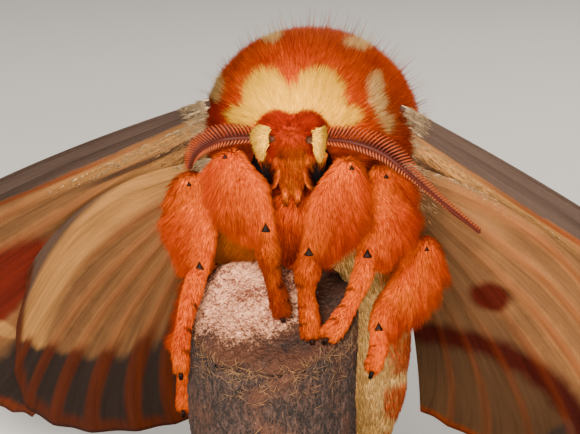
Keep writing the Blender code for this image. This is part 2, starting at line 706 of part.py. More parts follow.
def build_abdomen(workshop):
    whole = limb("abdomen", ABDOMEN, sides=16, steps=3)
    for name, above in (("abdomen_front", True), ("abdomen_rear", False)):
        thing = workshop.add(name, whole.copy(), "cream")
        cut_level(thing.data, ABDOMEN_PART_HEIGHT + (GAP / 2 if above else -GAP / 2), above)
    bpy.data.meshes.remove(whole)


def cut_level(mesh, height, keep_above):
    bm = bmesh.new()
    bm.from_mesh(mesh)
    everything = bm.verts[:] + bm.edges[:] + bm.faces[:]
    bmesh.ops.bisect_plane(
        bm, geom=everything, dist=1e-7, plane_co=(0, 0, height * MM), plane_no=(0, 0, 1),
        clear_inner=keep_above, clear_outer=not keep_above,
    )
    bmesh.ops.holes_fill(bm, edges=[edge for edge in bm.edges if edge.is_boundary])
    bmesh.ops.recalc_face_normals(bm, faces=bm.faces)
    bm.to_mesh(mesh)
    bm.free()


def build_branch(workshop):
    """An upright cut branch: a cylinder with noise for bark and a slanted, broken upper end."""
    bm = bmesh.new()
    tall = 30.0
    bmesh.ops.create_cone(
        bm, cap_ends=True, segments=22, radius1=BRANCH_RADIUS, radius2=BRANCH_RADIUS, depth=tall,
    )
    middle = Vector((BRANCH_AXIS[0], BRANCH_AXIS[1], BRANCH_FOOT + tall / 2))
    bmesh.ops.translate(bm, vec=middle, verts=bm.verts)
    for level in range(1, 10):
        slice_across(bm, BRANCH_FOOT + level * 2.2, (0, 0, 1), False)
    slant = math.radians(BRANCH_SLANT)
    slice_across(bm, BRANCH_TOP, (0, -math.sin(slant), math.cos(slant)), True)
    for vertex in bm.verts:
        roughen(vertex)
    bmesh.ops.scale(bm, vec=(MM, MM, MM), verts=bm.verts)
    branch = workshop.add("perch_branch", mesh_from(bm, "branch"), "bark")
    feet = [limb("tarsus", lengths[2], grow=GAP) for lengths in LEGS.values()]
    shanks = [limb("tibia", lengths[1], grow=GAP) for lengths in LEGS.values()]
    workshop.carve(branch, *feet, *shanks)


def slice_across(bm, height, direction, trim):
    everything = bm.verts[:] + bm.edges[:] + bm.faces[:]
    place = Vector((BRANCH_AXIS[0], BRANCH_AXIS[1], height))
    bmesh.ops.bisect_plane(
        bm, geom=everything, dist=1e-5, plane_co=place, plane_no=direction, clear_outer=trim,
    )
    if trim:
        bmesh.ops.holes_fill(bm, edges=[edge for edge in bm.edges if edge.is_boundary])


def roughen(vertex):
    """Moves a vertex of the branch in or out by noise, except at its flat foot."""
    if vertex.co.z < BRANCH_FOOT + 0.1:
        return
    outward = Vector((vertex.co.x - BRANCH_AXIS[0], vertex.co.y - BRANCH_AXIS[1], 0.0)).normalized()
    vertex.co += outward * BARK_RELIEF * noise.noise(vertex.co * 0.45)


def build_stand(workshop):
    base_top = BASE_THICKNESS - HEAD_PLACE[2]
    rod_low = base_top + GAP
    rod_high = BRANCH_FOOT - GAP
    bm = bmesh.new()
    bmesh.ops.create_cone(
        bm, cap_ends=True, segments=20, radius1=ROD_RADIUS * MM, radius2=ROD_RADIUS * MM,
        depth=(rod_high - rod_low) * MM,
    )
    rod = workshop.add("stand_rod", mesh_from(bm, "rod"), "brass", 0.3, 1.0)
    rod.location = Vector((*BRANCH_AXIS, (rod_high + rod_low) / 2)) * MM
    bm = bmesh.new()
    bmesh.ops.create_cone(
        bm, cap_ends=True, segments=36, radius1=BASE_RADIUS * MM, radius2=BASE_RADIUS * MM,
        depth=BASE_THICKNESS * MM,
    )
    base = workshop.add("stand_base", mesh_from(bm, "base"), "wood", 0.4)
    base.location = Vector((0.0, -HEAD_PLACE[1], base_top - BASE_THICKNESS / 2)) * MM
    edge = base.modifiers.new("edge", "BEVEL")
    edge.width = BASE_EDGE * MM
    edge.segments = 1


def main():
    clear_scene()
    workshop = Workshop()
    build_head(workshop)
    build_feelers(workshop)
    build_thorax(workshop)
    build_legs(workshop)
    build_abdomen(workshop)
    build_wings(workshop)
    build_branch(workshop)
    build_stand(workshop)


main()
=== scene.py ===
"""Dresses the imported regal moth: one furred skin, patterned wings, combed feelers, branch and stand.

The moth's places are in millimetres from the middle of its head, as in the solids; the frame is in metres.
"""
import logging
import math
from dataclasses import dataclass
from enum import Enum
from typing import Iterable, Sequence

import bpy
import numpy as np
from mathutils import Matrix, Vector
from mathutils.bvhtree import BVHTree
from mathutils.kdtree import KDTree


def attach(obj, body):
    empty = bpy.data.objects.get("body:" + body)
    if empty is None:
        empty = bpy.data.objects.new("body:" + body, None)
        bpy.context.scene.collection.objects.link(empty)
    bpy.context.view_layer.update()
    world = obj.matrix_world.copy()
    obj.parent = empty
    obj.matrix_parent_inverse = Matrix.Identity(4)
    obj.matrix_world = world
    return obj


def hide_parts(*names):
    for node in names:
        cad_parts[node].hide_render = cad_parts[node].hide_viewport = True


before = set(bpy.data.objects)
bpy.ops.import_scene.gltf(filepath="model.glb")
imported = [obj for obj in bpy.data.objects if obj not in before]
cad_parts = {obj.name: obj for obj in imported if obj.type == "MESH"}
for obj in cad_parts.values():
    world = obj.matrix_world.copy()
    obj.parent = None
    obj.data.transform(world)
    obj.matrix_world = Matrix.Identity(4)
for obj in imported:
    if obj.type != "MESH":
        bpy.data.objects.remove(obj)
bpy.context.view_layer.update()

log = logging.getLogger("regal_moth")

MM = 0.001
HEAD_PLACE = np.array((0.0, -8.0, 43.5))
VIEW_TURN = math.radians(9.0)
VIEW_RISE = math.radians(13.0)
TOWARDS_VIEW = np.array((
    math.sin(VIEW_TURN) * math.cos(VIEW_RISE),
    -math.cos(VIEW_TURN) * math.cos(VIEW_RISE),
    math.sin(VIEW_RISE),
))
VIEW_RIGHT = np.array((math.cos(VIEW_TURN), math.sin(VIEW_TURN), 0.0))
VIEW_UP = np.cross(TOWARDS_VIEW, VIEW_RIGHT)
LIMB_FACING = np.array((0.15, -0.96, 0.22)) / np.linalg.norm((0.15, -0.96, 0.22))
HEAD_TURN = math.radians(8.0)
UV_PATCH = 0.003
COSTA_SLOPE = 0.065
VEINS = (0.12, 0.26, 0.40, 0.53, 0.66, 0.79, 0.91)

Array = np.ndarray
Rows = dict[str, Array]
Shape = tuple[Array, Array]
Stations = Sequence[Sequence[float]]
Chance = np.random.Generator
Thing = bpy.types.Object
Material = bpy.types.Material
Socket = bpy.types.NodeSocket


class Side(Enum):
    """The moth's two sides as the viewer sees them, with the sign of X on each."""

    LEFT = -1
    RIGHT = 1

    @property
    def word(self) -> str:
        """The side's name as the nodes write it."""
        return self.name.lower()


class Face(Enum):
    """The two faces of a wing."""

    UNDER = 1
    UPPER = -1


COSTA_BREADTH = {Side.LEFT: 0.35, Side.RIGHT: 0.9}
# Painted shade: how bright each side's wing colours are kept, with the left wings dimmed more than the right.
WING_PAINTED_LIGHT = {Side.LEFT: 0.62, Side.RIGHT: 0.9}
WING_TURNS = {Side.LEFT: (30.0, 21.0), Side.RIGHT: (36.0, 30.0)}


def srgb(red: float, green: float, blue: float) -> tuple[float, float, float, float]:
    """Turns a colour on the 0 to 255 screen scale into the linear one that shaders take."""
    parts = [value / 255 for value in (red, green, blue)]
    linear = [p / 12.92 if p <= 0.04045 else ((p + 0.055) / 1.055) ** 2.4 for p in parts]
    return (*linear, 1.0)


def unit(rows: Array) -> Array:
    """Scales each row to length 1."""
    size = np.linalg.norm(rows, axis=-1, keepdims=True)
    return rows / np.maximum(size, 1e-9)


def ramp(values: Array, low: float, high: float) -> Array:
    """Rises smoothly from 0 at low to 1 at high."""
    share = np.clip((values - low) / (high - low), 0.0, 1.0)
    return share * share * (3 - 2 * share)


def ripple(places: Array, scale: float, seed: int) -> Array:
    """A smooth, seeded wave through space, between about -1 and 1.

    Args:
        places: Points in millimetres, one a row.
        scale: Waves for each millimetre, roughly.
        seed: Picks the wave's directions.

    Returns:
        One number for each point.
    """
    draw = np.random.default_rng(seed)
    waves = draw.normal(size=(7, 3)) * scale
    starts = draw.uniform(0, math.tau, 7)
    return np.sin(places @ waves.T + starts).sum(axis=1) / 3.0


def smooth_rows(stations: Stations, steps: int) -> Array:
    """Catmull-Rom samples through the stations, with every column blended alike.

    Args:
        stations: The rows it passes through.
        steps: Samples in each span.

    Returns:
        The samples.
    """
    rows = np.array(stations, float)
    rows = np.vstack([rows[0] * 2 - rows[1], rows, rows[-1] * 2 - rows[-2]])
    t = np.arange(steps)[:, None] / steps
    spans = []
    for a, b, c, d in zip(rows, rows[1:], rows[2:], rows[3:]):
        cubic = (b * 3 - a - c * 3 + d) * t ** 3
        spans.append((b * 2 + (c - a) * t + (a * 2 - b * 5 + c * 4 - d) * t * t + cubic) / 2)
    return np.vstack([*spans, rows[-2:-1]])


def read_rows(where: Array, places: Array, rows: Array) -> Array:
    """Reads samples, each a number or a row of them, at places between their own."""
    if rows.ndim == 1:
        return np.interp(where, places, rows)
    return np.stack([np.interp(where, places, column) for column in rows.T], axis=1)


def fused(pieces: Iterable[Shape]) -> Shape:
    """Puts the points and faces of several shapes into one set."""
    points, faces = zip(*pieces)
    starts = np.cumsum([0, *(len(rows) for rows in points[:-1])])
    return np.vstack(points), np.vstack([rows + start for rows, start in zip(faces, starts)])


def head_turned(places: Array) -> Array:
    """Turns places of the head about the upright through its middle."""
    turn = np.array(Matrix.Rotation(HEAD_TURN, 3, "Z"))
    return np.asarray(places, float) @ turn.T


def grid_faces(rows: int, columns: int, closed: bool) -> Array:
    """Quads between neighbouring rows of points; closed joins the last column to the first."""
    row, column = np.meshgrid(np.arange(rows - 1), np.arange(columns - 1 + closed), indexing="ij")
    near, far = column, (column + 1) % columns
    start, end = row * columns, (row + 1) * columns
    return np.stack([start + near, start + far, end + far, end + near], axis=-1).reshape(-1, 4)


def make_mesh(name: str, points: Array, faces: Array) -> bpy.types.Mesh:
    """Makes a mesh in the frame's metres from places in millimetres.

    Args:
        name: The mesh's name.
        points: Places in the moth's millimetres, one a row.
        faces: Corner numbers, with as many to a row as each face has corners.

    Returns:
        The smooth-shaded mesh.
    """
    mesh = bpy.data.meshes.new(name)
    count, size = faces.shape
    mesh.vertices.add(len(points))
    mesh.vertices.foreach_set("co", ((points + HEAD_PLACE) * MM).astype(np.float32).ravel())
    mesh.loops.add(count * size)
    mesh.loops.foreach_set("vertex_index", faces.astype(np.int32).ravel())
    mesh.polygons.add(count)
    mesh.polygons.foreach_set("loop_start", np.arange(0, count * size, size, dtype=np.int32))
    mesh.update(calc_edges=True)
    mesh.validate()
    mesh.shade_smooth()
    return mesh


def make_object(name: str, data: bpy.types.ID) -> Thing:
    """Links a new object that carries a mesh, a lamp or a camera."""
    thing = bpy.data.objects.new(name, data)
    bpy.context.scene.collection.objects.link(thing)
    return thing


def set_numbers(mesh: bpy.types.Mesh, name: str, values: Array) -> None:
    """Stores one number, or one triple, for each vertex under a name."""
    triple = values.ndim == 2
    layer = mesh.attributes.new(name, "FLOAT_VECTOR" if triple else "FLOAT", "POINT")
    layer.data.foreach_set("vector" if triple else "value", values.astype(np.float32).ravel())


def install(piece: Thing, material: Material, slot: str, *nodes: str) -> Thing:
    """Gives a piece its finish, sets it on the model's one body and hides the solids that it stands for.

    Args:
        piece: The finished object.
        material: Its finish.
        slot: The record's material slot; not used.
        nodes: Names of the solids it replaces, if any.

    Returns:
        The same object.
    """
    piece.data.materials.clear()
    piece.data.materials.append(material)
    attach(piece, "root")
    if nodes:
        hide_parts(*nodes)
    log.info("%s: %d faces", piece.name, len(piece.data.polygons))
    return piece


class Value:
    """A number inside a material, on which plain arithmetic adds Math nodes."""

    def __init__(self, shader: "Shader", socket: Socket) -> None:
        """Wraps one output socket of the shader's tree."""
        self.shader = shader
        self.socket = socket

    def _with(self, operation: str, *others: "Value | float") -> "Value":
        """Adds a Math node that takes this value first."""
        return self.shader.math(operation, self, *others)

    def __add__(self, other: "Value | float") -> "Value":
        """Adds."""
        return self._with("ADD", other)

    def __sub__(self, other: "Value | float") -> "Value":
        """Takes the other from this."""
        return self._with("SUBTRACT", other)

    def __rsub__(self, other: float) -> "Value":
        """Takes this from a plain number."""
        return self.shader.math("SUBTRACT", other, self)

    def __mul__(self, other: "Value | float") -> "Value":
        """Multiplies."""
        return self._with("MULTIPLY", other)

    def __truediv__(self, other: "Value | float") -> "Value":
        """Divides this by the other."""
        return self._with("DIVIDE", other)

    def __pow__(self, other: "Value | float") -> "Value":
        """Raises this to a power."""
        return self._with("POWER", other)

    def __abs__(self) -> "Value":
        """Drops the sign."""
        return self._with("ABSOLUTE")

    __radd__ = __add__
    __rmul__ = __mul__

    def smallest(self, other: "Value | float") -> "Value":
        """The smaller of two values."""
        return self._with("MINIMUM", other)

    def root(self) -> "Value":
        """The square root of this value."""
        return self._with("SQRT")

    def ramp(self, low: float, high: float, floor: float = 0.0, top: float = 1.0) -> "Value":
        """Rises smoothly from floor, where this is low, to top, where it is high.

        Args:
            low: Where the rise starts.
            high: Where the rise ends.
            floor: The least value.
            top: The most.

        Returns:
            The smooth rise.
        """
        node = self.shader.node(
            "ShaderNodeMapRange", {"interpolation_type": "SMOOTHSTEP"},
            {"Value": self, "From Min": low, "From Max": high, "To Min": floor, "To Max": top},
        )
        return Value(self.shader, node.outputs["Result"])


class Shader:
    """One material's tree: its Principled shader, and the ways to add nodes to it."""

    def __init__(self, name: str, roughness: float, **plain: float) -> None:
        """Makes the material and sets what is the same all over it on the shader's own sockets.

        Args:
            name: The material's name.
            roughness: The shader's roughness.
            plain: Other numbers by socket name, with spaces written as underscores.
        """
        self.material = bpy.data.materials.new(name)
        self.material.use_nodes = True
        self.tree = self.material.node_tree
        self.principled = self.tree.nodes["Principled BSDF"]
        self.tone = None
        self.principled.inputs["Roughness"].default_value = roughness
        for word, value in plain.items():
            self.principled.inputs[word.replace("_", " ")].default_value = value

    def node(self, kind: str, settings: dict | None = None, inputs: dict | None = None) -> bpy.types.Node:
        """Adds one node.

        Args:
            kind: The node's type.
            settings: Its properties; "stops" fills a colour ramp with (place, colour) pairs.
            inputs: Values, sockets or colours by the socket's name or number.

        Returns:
            The new node.
        """
        made = self.tree.nodes.new(kind)
        for word, setting in (settings or {}).items():
            if word == "stops":
                self._fill_ramp(made.color_ramp, setting)
            else:
                setattr(made, word, setting)
        for word, given in (inputs or {}).items():
            source = given.socket if isinstance(given, Value) else given
            if isinstance(source, Socket):
                self.tree.links.new(source, made.inputs[word])
            else:
                made.inputs[word].default_value = source
        return made

    @staticmethod
    def _fill_ramp(band: bpy.types.ColorRamp, stops: Sequence[tuple]) -> None:
        """Sets a colour ramp's stops.

        Args:
            band: The ramp.
            stops: Pairs of place and colour.
        """
        while len(band.elements) < len(stops):
            band.elements.new(0.5)
        for element, (place, colour) in zip(band.elements, stops):
            element.position = place
            element.color = colour

    def math(self, operation: str, *values: Value | float) -> Value:
        """Adds a Math node over one to three values."""
        made = self.node("ShaderNodeMath", {"operation": operation}, dict(enumerate(values)))
        return Value(self, made.outputs[0])

    def number(self, name: str) -> Value:
        """Reads a number that the mesh stores."""
        made = self.node("ShaderNodeAttribute", {"attribute_type": "GEOMETRY", "attribute_name": name})
        return Value(self, made.outputs["Fac"])

    def triple(self, name: str) -> Socket:
        """Reads a triple that the mesh stores."""
        made = self.node("ShaderNodeAttribute", {"attribute_type": "GEOMETRY", "attribute_name": name})
        return made.outputs["Vector"]

    def place(self, stretch: Sequence[float] = (1.0, 1.0, 1.0)) -> Socket:
        """The surface's own place in millimetres, squeezed or stretched along each axis."""
        source = self.node("ShaderNodeTexCoord").outputs["Object"]
        scale = tuple(share / MM for share in stretch)
        made = self.node("ShaderNodeVectorMath", {"operation": "MULTIPLY"}, {0: source, 1: scale})
        return made.outputs[0]

    def noise(self, where: Socket, scale: float, detail: float = 3.0, warp: float = 0.0) -> Value:
        """Adds a noise texture over a place in millimetres."""
        inputs = {"Vector": where, "Scale": scale, "Detail": detail, "Distortion": warp}
        return Value(self, self.node("ShaderNodeTexNoise", None, inputs).outputs[0])

    def cells(self, where: Socket, scale: float) -> Value:
        """Adds the distance to the nearest of scattered cells."""
        made = self.node("ShaderNodeTexVoronoi", None, {"Vector": where, "Scale": scale})
        return Value(self, made.outputs["Distance"])

    def mix(self, share: Value | float, first: object, second: object) -> Socket:
        """Blends two colours, each a socket or a colour of four numbers."""
        made = self.node("ShaderNodeMix", {"data_type": "RGBA"}, {0: share, 6: first, 7: second})
        return made.outputs[2]

    def lay(self, share: Value | float, colour: object) -> Socket:
        """Lays a colour, a socket or four numbers, over the tone so far."""
        self.tone = self.mix(share, self.tone, colour)
        return self.tone

    def brighten(self, light: Value) -> Socket:
        """Multiplies the tone so far by a number."""
        grey = self.node("ShaderNodeCombineXYZ", None, {0: light, 1: light, 2: light}).outputs[0]
        made = self.node("ShaderNodeVectorMath", {"operation": "MULTIPLY"}, {0: self.tone, 1: grey})
        return made.outputs[0]

    def colour(self, source: Socket) -> None:
        """Feeds the base colour."""
        self.tree.links.new(source, self.principled.inputs["Base Color"])

    def rough(self, source: Value) -> None:
        """Feeds the roughness."""
        self.tree.links.new(source.socket, self.principled.inputs["Roughness"])

    def bump(self, height: Value, depth_mm: float, strength: float = 1.0) -> None:
        """Feeds the normal from a height, whose full range is as deep as told."""
        made = self.node(
            "ShaderNodeBump", None, {"Height": height, "Distance": depth_mm * MM, "Strength": strength},
        )
        self.tree.links.new(made.outputs[0], self.principled.inputs["Normal"])


@dataclass(frozen=True)
class FurFinish:
    """Soft scale-hair whose colour follows the markings stored with each tuft's root."""

    base: tuple = srgb(255, 108, 0)
    deep: tuple = srgb(188, 44, 4)
    cream: tuple = srgb(255, 190, 36)
    dark: tuple = srgb(24, 12, 8)
    root_shade: float = 0.22
    pale: tuple = srgb(255, 198, 118)

    def material(self, name: str) -> Material:
        """Builds the coat's material: markings, a darker root, and a slight change from tuft to tuft.

        Args:
            name: The material's name.

        Returns:
            The material.
        """
        shader = Shader(name, 0.7, Specular_IOR_Level=0.06)
        root = shader.triple("root")
        mottle = shader.noise(root, 0.55, 2.0)
        fine = shader.noise(root, 3.5, 1.0)
        shade = shader.number("shade")
        shader.tone = shader.mix((mottle * 0.6 + shade * 0.5).ramp(0.25, 0.95), self.deep, self.base)
        shader.lay(shader.number("deep"), self.deep)
        shader.lay(shader.number("cream"), shader.mix(shader.number("deep"), self.cream, self.pale))
        shader.lay(shader.number("dark"), self.dark)
        depth = shader.number("tip").ramp(0.0, 0.7, self.root_shade, 1.0)
        shader.colour(shader.brighten(depth * (shade * 0.8 + 0.62) * fine.ramp(0.3, 0.7, 0.8, 1.15)))
        return shader.material


@dataclass(frozen=True)
class ChitinFinish:
    """Glossy dark shell, with a fine ripple and a painted glint laid over its grain."""

    tone: tuple = srgb(12, 6, 5)
    glint: tuple = srgb(38, 18, 12)

    def material(self, name: str) -> Material:
        """Builds the shell's material.

        Args:
            name: The material's name.

        Returns:
            The material.
        """
        shader = Shader(name, 0.5, Specular_IOR_Level=0.05)
        grain = shader.noise(shader.place(), 2.2, 3.0)
        # Painted glint: a lighter tone laid over the shell's grain.
        shader.colour(shader.mix(grain.ramp(0.4, 0.75), self.tone, self.glint))
        shader.bump(grain, 0.03)
        return shader.material


@dataclass(frozen=True)
class EyeFinish:
    """A near-black compound eye with fine facets under a clear gloss."""

    tone: tuple = srgb(5, 3, 3)
    rim: tuple = srgb(18, 8, 6)

    def material(self, name: str) -> Material:
        """Builds the eye's material.

        Args:
            name: The material's name.

        Returns:
            The material.
        """
        shader = Shader(name, 0.7, Specular_IOR_Level=0.04)
        facets = shader.cells(shader.place(), 9.0)
        band = shader.noise(shader.place(), 0.6, 1.0)
        shader.colour(shader.mix(band.ramp(0.55, 0.8), self.tone, self.rim))
        shader.bump(facets, 0.02, 0.5)
        return shader.material


@dataclass(frozen=True)
class FeelerFinish:
    """Red-brown comb with paler, slightly shiny teeth, and a painted sheen on the tips of the lower teeth."""

    shaft: tuple = srgb(62, 16, 4)
    tooth: tuple = srgb(128, 46, 4)
    shine: tuple = srgb(150, 80, 46)

    def material(self, name: str) -> Material:
        """Builds the feeler's material from how far out each tooth's point lies.

        Args:
            name: The material's name.

        Returns:
            The material.
        """
        shader = Shader(name, 0.6, Specular_IOR_Level=0.2)
        tip = shader.number("tip")
        low = shader.number("low")
        grain = shader.noise(shader.place(), 2.0, 2.0)
        shader.tone = shader.mix(tip.ramp(0.2, 0.8), self.shaft, self.tooth)
        # Painted sheen: the tips of the lower teeth are lightened.
        shader.lay((low * tip).ramp(0.3, 1.0, 0.0, 0.5), self.shine)
        shader.colour(shader.brighten(grain * 0.6 + 0.7))
        return shader.material


@dataclass(frozen=True)
class BarkFinish:
    """Dark fibrous bark with warm patches, and pale grained wood on the cut."""

    bark: tuple = srgb(24, 15, 11)
    lichen: tuple = srgb(70, 49, 40)
    warm: tuple = srgb(76, 41, 22)
    wood: tuple = srgb(230, 164, 126)
    stain: tuple = srgb(104, 52, 34)

    def material(self, name: str) -> Material:
        """Builds the branch's material from the stored shares of the cut and of bare wood.

        Args:
            name: The material's name.

        Returns:
            The material.
        """
        shader = Shader(name, 0.82, Specular_IOR_Level=0.3)
        fibre = shader.noise(shader.place((1.0, 1.0, 0.45)), 2.2, 6.0, 0.8)
        fine = shader.noise(shader.place((1.0, 1.0, 0.6)), 6.0, 5.0)
        patch = shader.noise(shader.place(), 0.32, 3.0)
        cut = shader.number("cut")
        shader.tone = shader.mix((fibre * 0.6 + fine * 0.4).ramp(0.4, 0.66), self.bark, self.lichen)
        shader.lay((patch + fine * 0.4 + cut * 0.2).ramp(0.64, 0.95, 0.0, 0.85), self.warm)
        weathered = fine * 0.8 + fibre * 0.6 + patch * 0.6
        wood = shader.mix(weathered.ramp(0.8, 1.2), self.stain, self.wood)
        broken = shader.number("bare") + fine * 0.9 + fibre * 0.6 + patch * 0.5 - 1.0
        shader.colour(shader.lay(broken.ramp(0.2, 0.75), wood))
        shader.rough(fine.ramp(0.2, 0.8, 0.95, 0.6))
        shader.bump(fibre * 0.6 + fine * 0.4, 0.6)
        return shader.material


@dataclass(frozen=True)
class FibreFinish:
    """Dry straw-brown fibres, darker at their roots."""

    tone: tuple = srgb(150, 106, 62)
    root: tuple = srgb(52, 34, 24)

    def material(self, name: str) -> Material:
        """Builds the fibres' material from how far out each point lies."""
        shader = Shader(name, 0.7)
        shade = shader.number("shade") * 0.5 + shader.number("tip") * 0.5
        shader.colour(shader.mix(shade.ramp(0.2, 0.9), self.root, self.tone))
        return shader.material


@dataclass(frozen=True)
class WalnutFinish:
    """Oiled dark wood with long grain across the base."""

    light: tuple = srgb(112, 66, 38)
    dark: tuple = srgb(52, 27, 15)

    def material(self, name: str) -> Material:
        """Builds the base's material.

        Args:
            name: The material's name.

        Returns:
            The material.
        """
        shader = Shader(name, 0.4, Coat_Weight=0.25, Coat_Roughness=0.25)
        grain = shader.noise(shader.place((0.05, 1.0, 1.0)), 1.1, 6.0, 1.4)
        pores = shader.noise(shader.place((0.12, 2.0, 2.0)), 2.8, 3.0)
        shader.tone = shader.mix(grain.ramp(0.32, 0.68), self.dark, self.light)
        shader.colour(shader.brighten(pores.ramp(0.3, 0.7, 0.75, 1.08)))
        shader.rough(pores.ramp(0.3, 0.7, 0.5, 0.34))
        shader.bump(pores, 0.03)
        return shader.material


@dataclass(frozen=True)
class BrassFinish:
    """Brushed, slightly aged brass."""

    tone: tuple = srgb(196, 158, 92)
    aged: tuple = srgb(132, 98, 54)

    def material(self, name: str) -> Material:
        """Builds the rod's material.

        Args:
            name: The material's name.

        Returns:
            The material.
        """
        shader = Shader(name, 0.3, Metallic=1.0)
        brush = shader.noise(shader.place((6.0, 6.0, 0.15)), 2.2, 3.0)
        spots = shader.noise(shader.place(), 0.5, 4.0)
        shader.colour(shader.mix(spots.ramp(0.45, 0.75), self.tone, self.aged))
        shader.rough(brush.ramp(0.3, 0.7, 0.22, 0.42))
        shader.bump(brush, 0.01)
        return shader.material


class Tube:
    """An oval tube along a smooth route, with its ways along, across and towards the viewer."""

    def __init__(
        self, stations: Stations, grow: float = 0.0, steps: int = 6, round_share: float = 0.85,
    ) -> None:
        """Samples the route.

        Args:
            stations: Place, half width and, where it differs, half depth, in millimetres.
            grow: What is added to every half width and depth.
            steps: Samples in each span.
            round_share: How far each rounded end reaches, as a share of the end's half width.
        """
        full = [tuple(row) if len(row) == 5 else (*row, row[3]) for row in stations]
        rows = smooth_rows(full, steps)
        rows[:, 3:] = np.maximum(rows[:, 3:], 0.03) + grow
        rows = self._rounded(rows, round_share)
        self.places = rows[:, :3]
        self.wide = rows[:, 3]
        self.deep = rows[:, 4]
        self.ahead = unit(np.gradient(self.places, axis=0))
        self.depth = unit(LIMB_FACING - self.ahead * (self.ahead @ LIMB_FACING)[:, None])
        self.across = np.cross(self.ahead, self.depth)
        steps_long = np.linalg.norm(np.diff(self.places, axis=0), axis=1)
        self.reach = np.concatenate([[0.0], np.cumsum(steps_long)])
        self.slope = np.gradient((self.wide + self.deep) / 2, self.reach)

    @staticmethod
    def _rounded(rows: Array, round_share: float) -> Array:
        """Adds four shrinking rings beyond each end.

        Args:
            rows: The route's samples.
            round_share: The ends' reach.

        Returns:
            All the rings.
        """
        first = unit(rows[0, :3] - rows[1, :3])
        last = unit(rows[-1, :3] - rows[-2, :3])
        front = []
        back = []
        for tilt in np.radians((20, 42, 62, 82)):
            for ends, row, way in ((front, rows[0], first), (back, rows[-1], last)):
                ring = row.copy()
                ring[:3] += way * math.sin(tilt) * min(row[3], row[4]) * round_share
                ring[3:] *= math.cos(tilt)
                ends.append(ring)
        return np.vstack([*front[::-1], rows, *back])

    def at(self, share: Array, column: Array) -> Array:
        """Reads the route's samples at shares of its length."""
        return read_rows(share * self.reach[-1], self.reach, column)

    def shell(self, sides: int = 20) -> Shape:
        """The closed tube as points and quads.

        Args:
            sides: How many points go round.

        Returns:
            Points and quads.
        """
        angle = np.arange(sides) * math.tau / sides
        rings = []
        for number, middle in enumerate(self.places):
            wide = self.across[number] * np.cos(angle)[:, None] * self.wide[number]
            deep = self.depth[number] * np.sin(angle)[:, None] * self.deep[number]
            rings.append(middle + wide + deep)
        first = np.repeat(rings[0].mean(axis=0)[None], sides, axis=0)
        last = np.repeat(rings[-1].mean(axis=0)[None], sides, axis=0)
        rings = [first, *rings, last]
        return np.vstack(rings), grid_faces(len(rings), sides, True)

    def scatter(self, count: int, draw: Chance) -> Rows:
        """Scatters roots evenly over the tube.

        Args:
            count: How many roots.
            draw: The seeded source of chance.

        Returns:
            Places, outward normals, the way along, the share of the length and the angle of each.
        """
        girth = np.interp(np.linspace(0, 1, 64), self.reach / self.reach[-1], self.wide + self.deep)
        spread = np.concatenate([[0.0], np.cumsum(girth)])
        share = np.interp(draw.uniform(0, spread[-1], count), spread, np.linspace(0, 1, 65))
        angle = draw.uniform(0, math.tau, count)
        wide = self.at(share, self.wide)[:, None]
        deep = self.at(share, self.deep)[:, None]
        across = self.at(share, self.across)
        depth = self.at(share, self.depth)
        cos = np.cos(angle)[:, None]
        sin = np.sin(angle)[:, None]
        place = self.at(share, self.places) + across * cos * wide + depth * sin * deep
        ahead = unit(self.at(share, self.ahead))
        slope = self.at(share, self.slope)[:, None]
        normal = unit(unit(across * cos / wide + depth * sin / deep) - ahead * slope)
        return {"place": place, "normal": normal, "ahead": ahead, "share": share, "angle": angle}


class Ball:
    """An ellipsoid, turned about its middle."""

    def __init__(self, centre: Sequence[float], radii: Sequence[float], turn: Matrix | None = None) -> None:
        """Keeps the middle, the radii and the turn."""
        self.centre = np.array(centre, float)
        self.radii = np.array(radii, float)
        self.turn = np.array(turn if turn is not None else Matrix.Identity(3))

    @classmethod
    def on_head(cls, centre: Sequence[float], radii: Sequence[float], sign: int = 1) -> "Ball":
        """A ball given in the head's own places, on one side of it."""
        spot = head_turned(np.array((centre[0] * sign, centre[1], centre[2])))
        return cls(spot, radii, Matrix.Rotation(HEAD_TURN, 3, "Z"))

    def points(self, directions: Array) -> Shape:
        """Places and outward normals for unit directions in the ball's own axes."""
        place = self.centre + (directions * self.radii) @ self.turn.T
        normal = unit((directions / self.radii) @ self.turn.T)
        return place, normal

    def shell(self, sides: int = 40, rings: int = 24) -> Shape:
        """The closed ball as points and quads.

        Args:
            sides: How many points go round.
            rings: How many rings it has.

        Returns:
            Points and quads.
        """
        turns = np.arange(sides) * math.tau / sides
        polar, angle = np.meshgrid(np.linspace(0, math.pi, rings), turns, indexing="ij")
        wide = np.sin(polar)
        ways = np.stack([wide * np.cos(angle), wide * np.sin(angle), np.cos(polar)], axis=-1)
        return self.points(ways.reshape(-1, 3))[0], grid_faces(rings, sides, True)

    def scatter(self, count: int, draw: Chance) -> Rows:
        """Scatters roots evenly over the ball, with their places, normals and two shares for the unwrap.

        Args:
            count: How many roots.
            draw: The source of chance.

        Returns:
            What Tube.scatter returns.
        """
        ways = unit(draw.normal(size=(count, 3)))
        place, normal = self.points(ways)
        share = np.arccos(np.clip(ways[:, 2], -1, 1)) / math.pi
        angle = np.arctan2(ways[:, 1], ways[:, 0]) % math.tau
        ahead = np.zeros_like(place)
        return {"place": place, "normal": normal, "ahead": ahead, "share": share, "angle": angle}


